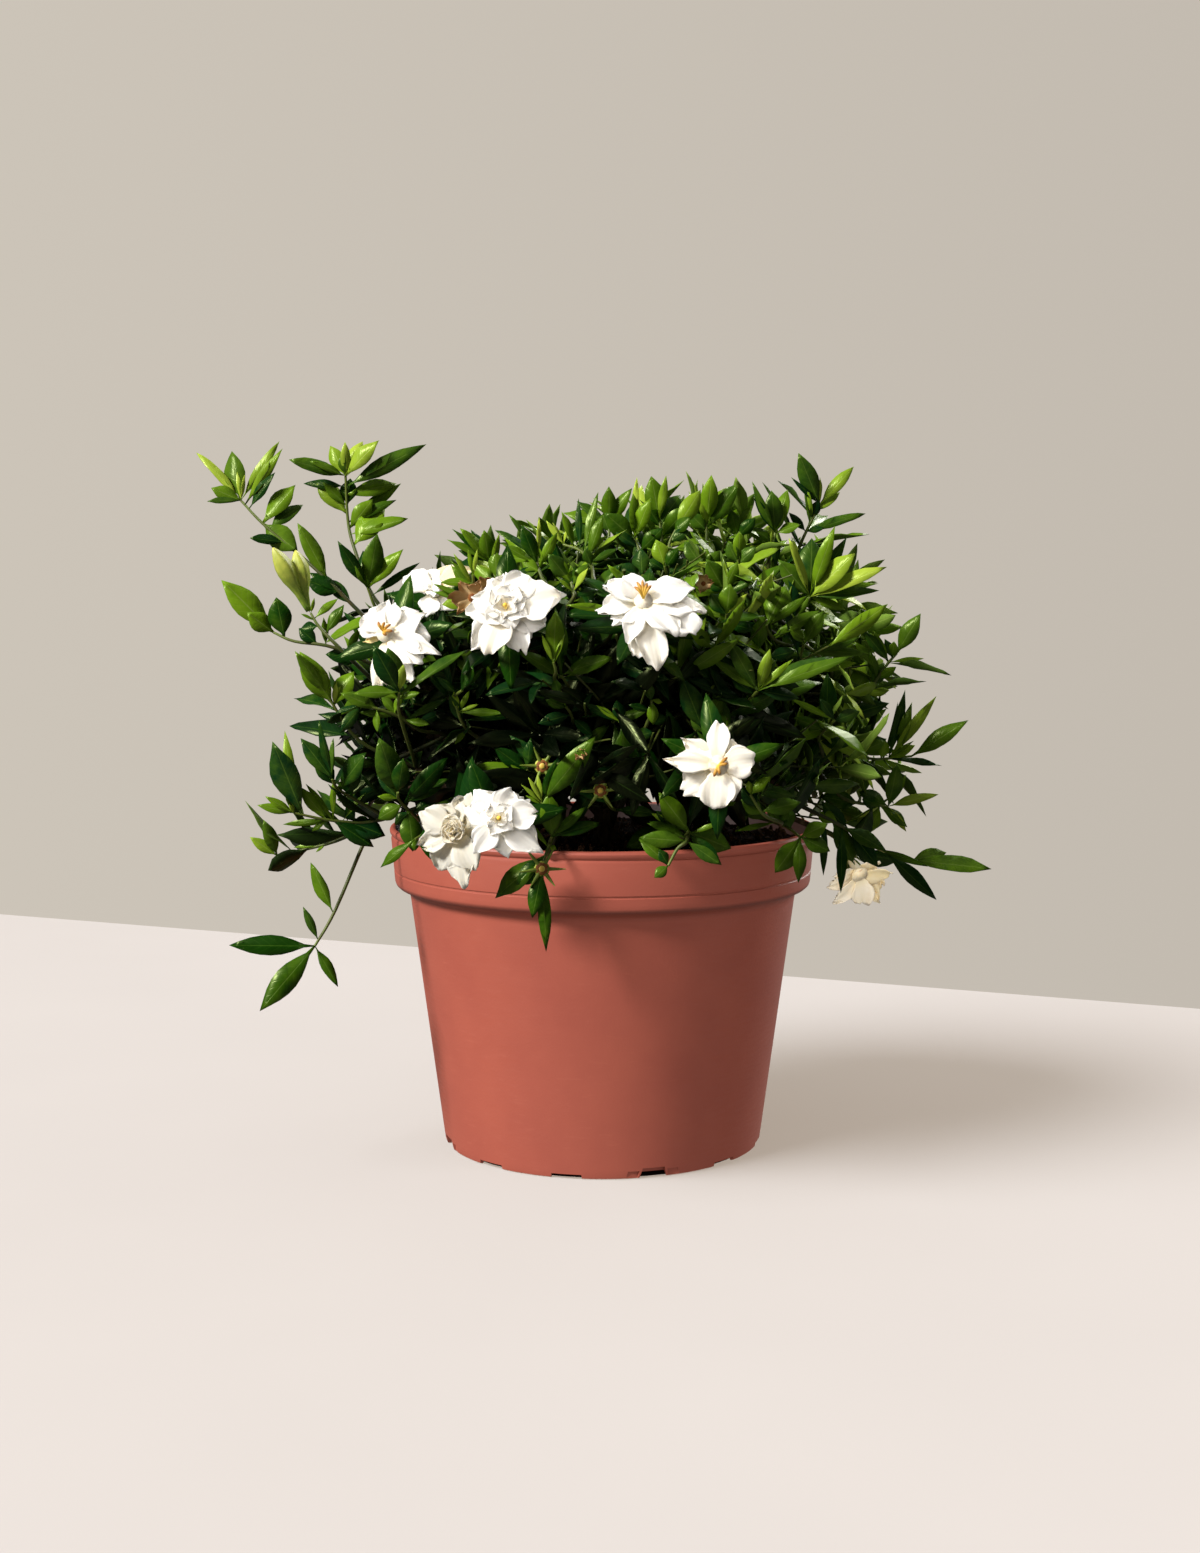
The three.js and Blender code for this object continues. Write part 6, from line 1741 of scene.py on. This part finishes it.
# %% Trunk and boughs
TRUNK_DEPTH = 24
FORK = spot(0, 0, 164)
SIDE_BOUGHS = 8
SIDE_REACH, SIDE_HEIGHT = 46, 184
TWIG_STARTS = 6  # on each bough
bough_ends = [spot(-14, 6, 226), spot(20, -6, 230)]
for index in range(SIDE_BOUGHS):
    azimuth = 2 * math.pi * (index + 0.5) / SIDE_BOUGHS
    bough_ends.append(spot(SIDE_REACH * math.cos(azimuth), SIDE_REACH * math.sin(azimuth), SIDE_HEIGHT))
wood = Growth()
trunk = [spot(0, 0, SOIL_TOP - TRUNK_DEPTH), spot(1.5, 0, SOIL_TOP + 8), FORK]
wood.add_stem(smooth_line(trunk, 4), (7 * MM, 4.6 * MM), (0, 0))
free_places = []
for end in bough_ends:
    bough = [FORK - spot(0, 0, 6), FORK.lerp(end, 0.5) + spot(0, 0, 5), end]
    wood.add_stem(smooth_line(bough, 6), (3.6 * MM, 2.2 * MM), (0, 0))
    free_places += [point_back(bough, (1 + 5 * index) * MM)[0] for index in range(TWIG_STARTS)]

# %% Twigs
roots = [(CARRIERS[name][0], CARRIERS[name][1]) for name in HAND_SHOOTS]
for flower in FLOWERS.values():
    faces = Vector(flower["faces"]).normalized()
    behind = spot(*flower["at"]) - faces * (TUBE_LENGTH + STALK_LENGTH)
    roots.append((stalk_root(behind), behind))
roots += [(line[0], line[1]) for name, line in CARRIERS.items() if name not in HAND_SHOOTS]
for root, after in roots:
    free_places.sort(key=lambda place: (place - root).length)
    way = (after - root).normalized()
    end = root - way * CLEAR
    near = free_places.pop(0)
    bend = end - way * (end - near).length * 0.35
    wood.add_stem(smooth_line([near, bend, end], 5), (1.9 * MM, 1.4 * MM), (0, 0))
woody = grow_piece("woody_stems_barked", wood, BARK, 8)
hand_over(woody, "bark", "woody_stems")
print("wood:", len(woody.data.polygons), "faces")

# %% [markdown]
# ## Floor, light and camera
# The floor is a pale sheet whose far edge runs a little aslant, as in the photograph. A dark disc lies under
# the pot, so that no light shows through the notches of its foot. Neither belongs to the object. Floor and
# pot throw no light back at the leaves, because the photograph has their undersides almost black.

# %% Floor
FAR_LEFT = spot(-483, 651, 0)
FAR_RIGHT = spot(375, 291, 0)
SHEET_MARGIN = 4  # metres beyond the edge's two places
SHEET_DEPTH = 6  # metres forward from the edge


def floor_finish():
    material, nodes, shader = finish("floor", Roughness=0.8)
    clouds = object_noise(nodes, 6, 2.0, 0.5)
    colour = nodes.colours(nodes.range(clouds, 0.3, 0.7), srgb(202, 202, 202), srgb(204, 204, 204))
    feed(shader, "Base Color", colour)
    return material


edge = (FAR_RIGHT - FAR_LEFT).normalized()
forward = Vector((edge.y, -edge.x, 0)) * SHEET_DEPTH
left, right = FAR_LEFT - edge * SHEET_MARGIN, FAR_RIGHT + edge * SHEET_MARGIN
corners = [left, right, right + forward, left + forward]
floor_mesh = bpy.data.meshes.new("floor")
floor_mesh.from_pydata([corner + spot(0, 0, -0.1) for corner in corners], [], [(0, 3, 2, 1)])
floor_mesh.materials.append(floor_finish())
floor = new_piece("floor", floor_mesh)
floor.visible_diffuse = floor.visible_glossy = pot.visible_diffuse = False

shade_mesh = turned_mesh("shade", [(0, -0.08), (73, -0.08), (73, -0.06), (0, -0.06)], 48)
shade_mesh.materials.append(finish("shade under the pot", Base_Color=srgb(44, 32, 26), Roughness=1.0)[0])
shade = new_piece("shade_under_the_pot", shade_mesh)
print("floor from", tuple(FAR_LEFT), "to", tuple(FAR_RIGHT))

# %% [markdown]
# The camera sees the wall as a colour of its own, painted a little lighter on the left, as painted light.
# Everything else gets soft light from above, and weak light back from the ground, from the same world.

# %% World
GROUND, HORIZON, ZENITH = 0.2, 0.035, 0.3  # how bright it is from each side


def wall_and_sky():
    """The wall's colour for the camera, and the soft light for everything else."""
    world = bpy.data.worlds.new("wall")
    world.use_nodes = True
    nodes = Nodes(world.node_tree)
    across, along, up = nodes.split(nodes.add("ShaderNodeTexCoord", output=0))
    # painted light: the wall seen by the camera is painted lighter on the left
    wall = nodes.colours(nodes.range(across, -0.35, 0.35), srgb(205, 197, 185), srgb(194, 186, 175))
    height = nodes.math("POWER", nodes.range(up, 0.0, 1.0), 1.5)
    above = nodes.colours(height, (HORIZON, HORIZON, HORIZON, 1), (ZENITH, ZENITH, ZENITH, 1))
    below = (GROUND, GROUND * 0.92, GROUND * 0.84, 1)
    soft = nodes.colours(nodes.range(up, -0.15, 0.0), below, above)
    seen = nodes.add("ShaderNodeLightPath")
    world.node_tree.links.new(nodes.colours(seen, soft, wall), nodes.tree.nodes["Background"].inputs["Color"])
    return world


bpy.context.scene.world = wall_and_sky()

# %% [markdown]
# The light of the photograph comes from the left and in front: a key lamp, soft enough for blurred shadows.
# It is made once for the plant, once for the pot and once for the floor, so that the leaves' shadows on the
# pot's lip and the long shadow on the floor come out as they do in the photograph. A back lamp on the right
# rounds off the far side of plant and pot. A weak lamp without shadows brings the floor up to its colour, and
# three more do so for the pot's front and the flowers. Light linking tells each lamp what it lights and
# whose shadows it throws.

# %% Lamps
def gather(name, pieces):
    """A collection that a lamp's light linking can name; it isn't part of the scene."""
    group = bpy.data.collections.new(name)
    for piece in pieces:
        group.objects.link(piece)
    return group


def add_sun(name, azimuth, elevation, spread, power, colour, lights, shadows_of=()):
    """A soft lamp far away that lights some pieces; azimuth runs from the front towards +X, in degrees."""
    lamp = bpy.data.lights.new(name, "SUN")
    lamp.angle, lamp.energy, lamp.color = math.radians(spread), power, colour
    holder = new_piece(name, lamp)
    turn, rise = math.radians(azimuth), math.radians(elevation)
    place = Vector((math.sin(turn) * math.cos(rise), -math.cos(turn) * math.cos(rise), math.sin(rise)))
    holder.location = place * 2
    holder.rotation_euler = place.to_track_quat("Z", "Y").to_euler()
    holder.light_linking.receiver_collection = gather(name + " lights", lights)
    if shadows_of:
        holder.light_linking.blocker_collection = gather(name + " blockers", shadows_of)
    return lamp


LOW_SHOOTS = ("rim_spill", "rim_right", "rim_far_right", "trailing")
WHITE, WARM, PLAIN = (1.0, 0.975, 0.93), (1.0, 0.93, 0.86), (1.0, 1.0, 1.0)
ROSY, ORANGE = (1.0, 0.98, 1.0), (1.0, 0.82, 0.66)
meshes = [piece for piece in bpy.context.scene.objects if piece.type == "MESH"]
plant = [piece for piece in meshes if piece not in (floor, shade, pot)]
before_pot = [pot] + [shoots[name] for name in LOW_SHOOTS]
lit_flowers = [piece for name, piece in flowers.items() if name != "rim_shaded"]
hanging = [flowers["hanging"]]
add_sun("key lamp", -59, 36, 14, 4.3, WHITE, plant)
add_sun("key lamp on the pot", -57, 36, 14, 4.7, PLAIN, [pot], before_pot)
add_sun("key lamp on the floor", -62, 47, 34, 2.65, ROSY, [floor])
add_sun("back lamp", 145, 40, 30, 2.6, WHITE, plant)
add_sun("back lamp on the pot", 140, 12, 20, 1.8, WHITE, [pot])
add_sun("floor lamp", 0, 90, 10, 2.02, ORANGE, [floor]).use_shadow = False
add_sun("pot lamp", 15, -10, 150, 0.9, WARM, [pot], [pot, soil])
add_sun("flower lamp", -25, 30, 50, 1.9, WARM, lit_flowers, lit_flowers)
add_sun("hanging flower lamp", 5, -15, 60, 1.5, WARM, hanging, hanging)
print("lamps:", len(bpy.data.lights))

# %% [markdown]
# The camera stands where the photograph's did: a little over nine hundred millimetres from the pot, at the
# height of the crown, and tilted down. The view transform is plain, as the colours were measured with it.

# %% Camera
LENS = 46.36
TILT = 5.5  # degrees down
camera_data = bpy.data.cameras.new("camera")
camera_data.lens = LENS
camera = new_piece("camera", camera_data)
camera.location = CAMERA_AT
camera.rotation_euler = (math.radians(90 - TILT), 0, 0)
bpy.context.scene.camera = camera
bpy.context.scene.view_settings.view_transform = "Standard"

# %% Print the solid model's box
print("solid model:", list(CAD_LOW), list(CAD_HIGH))
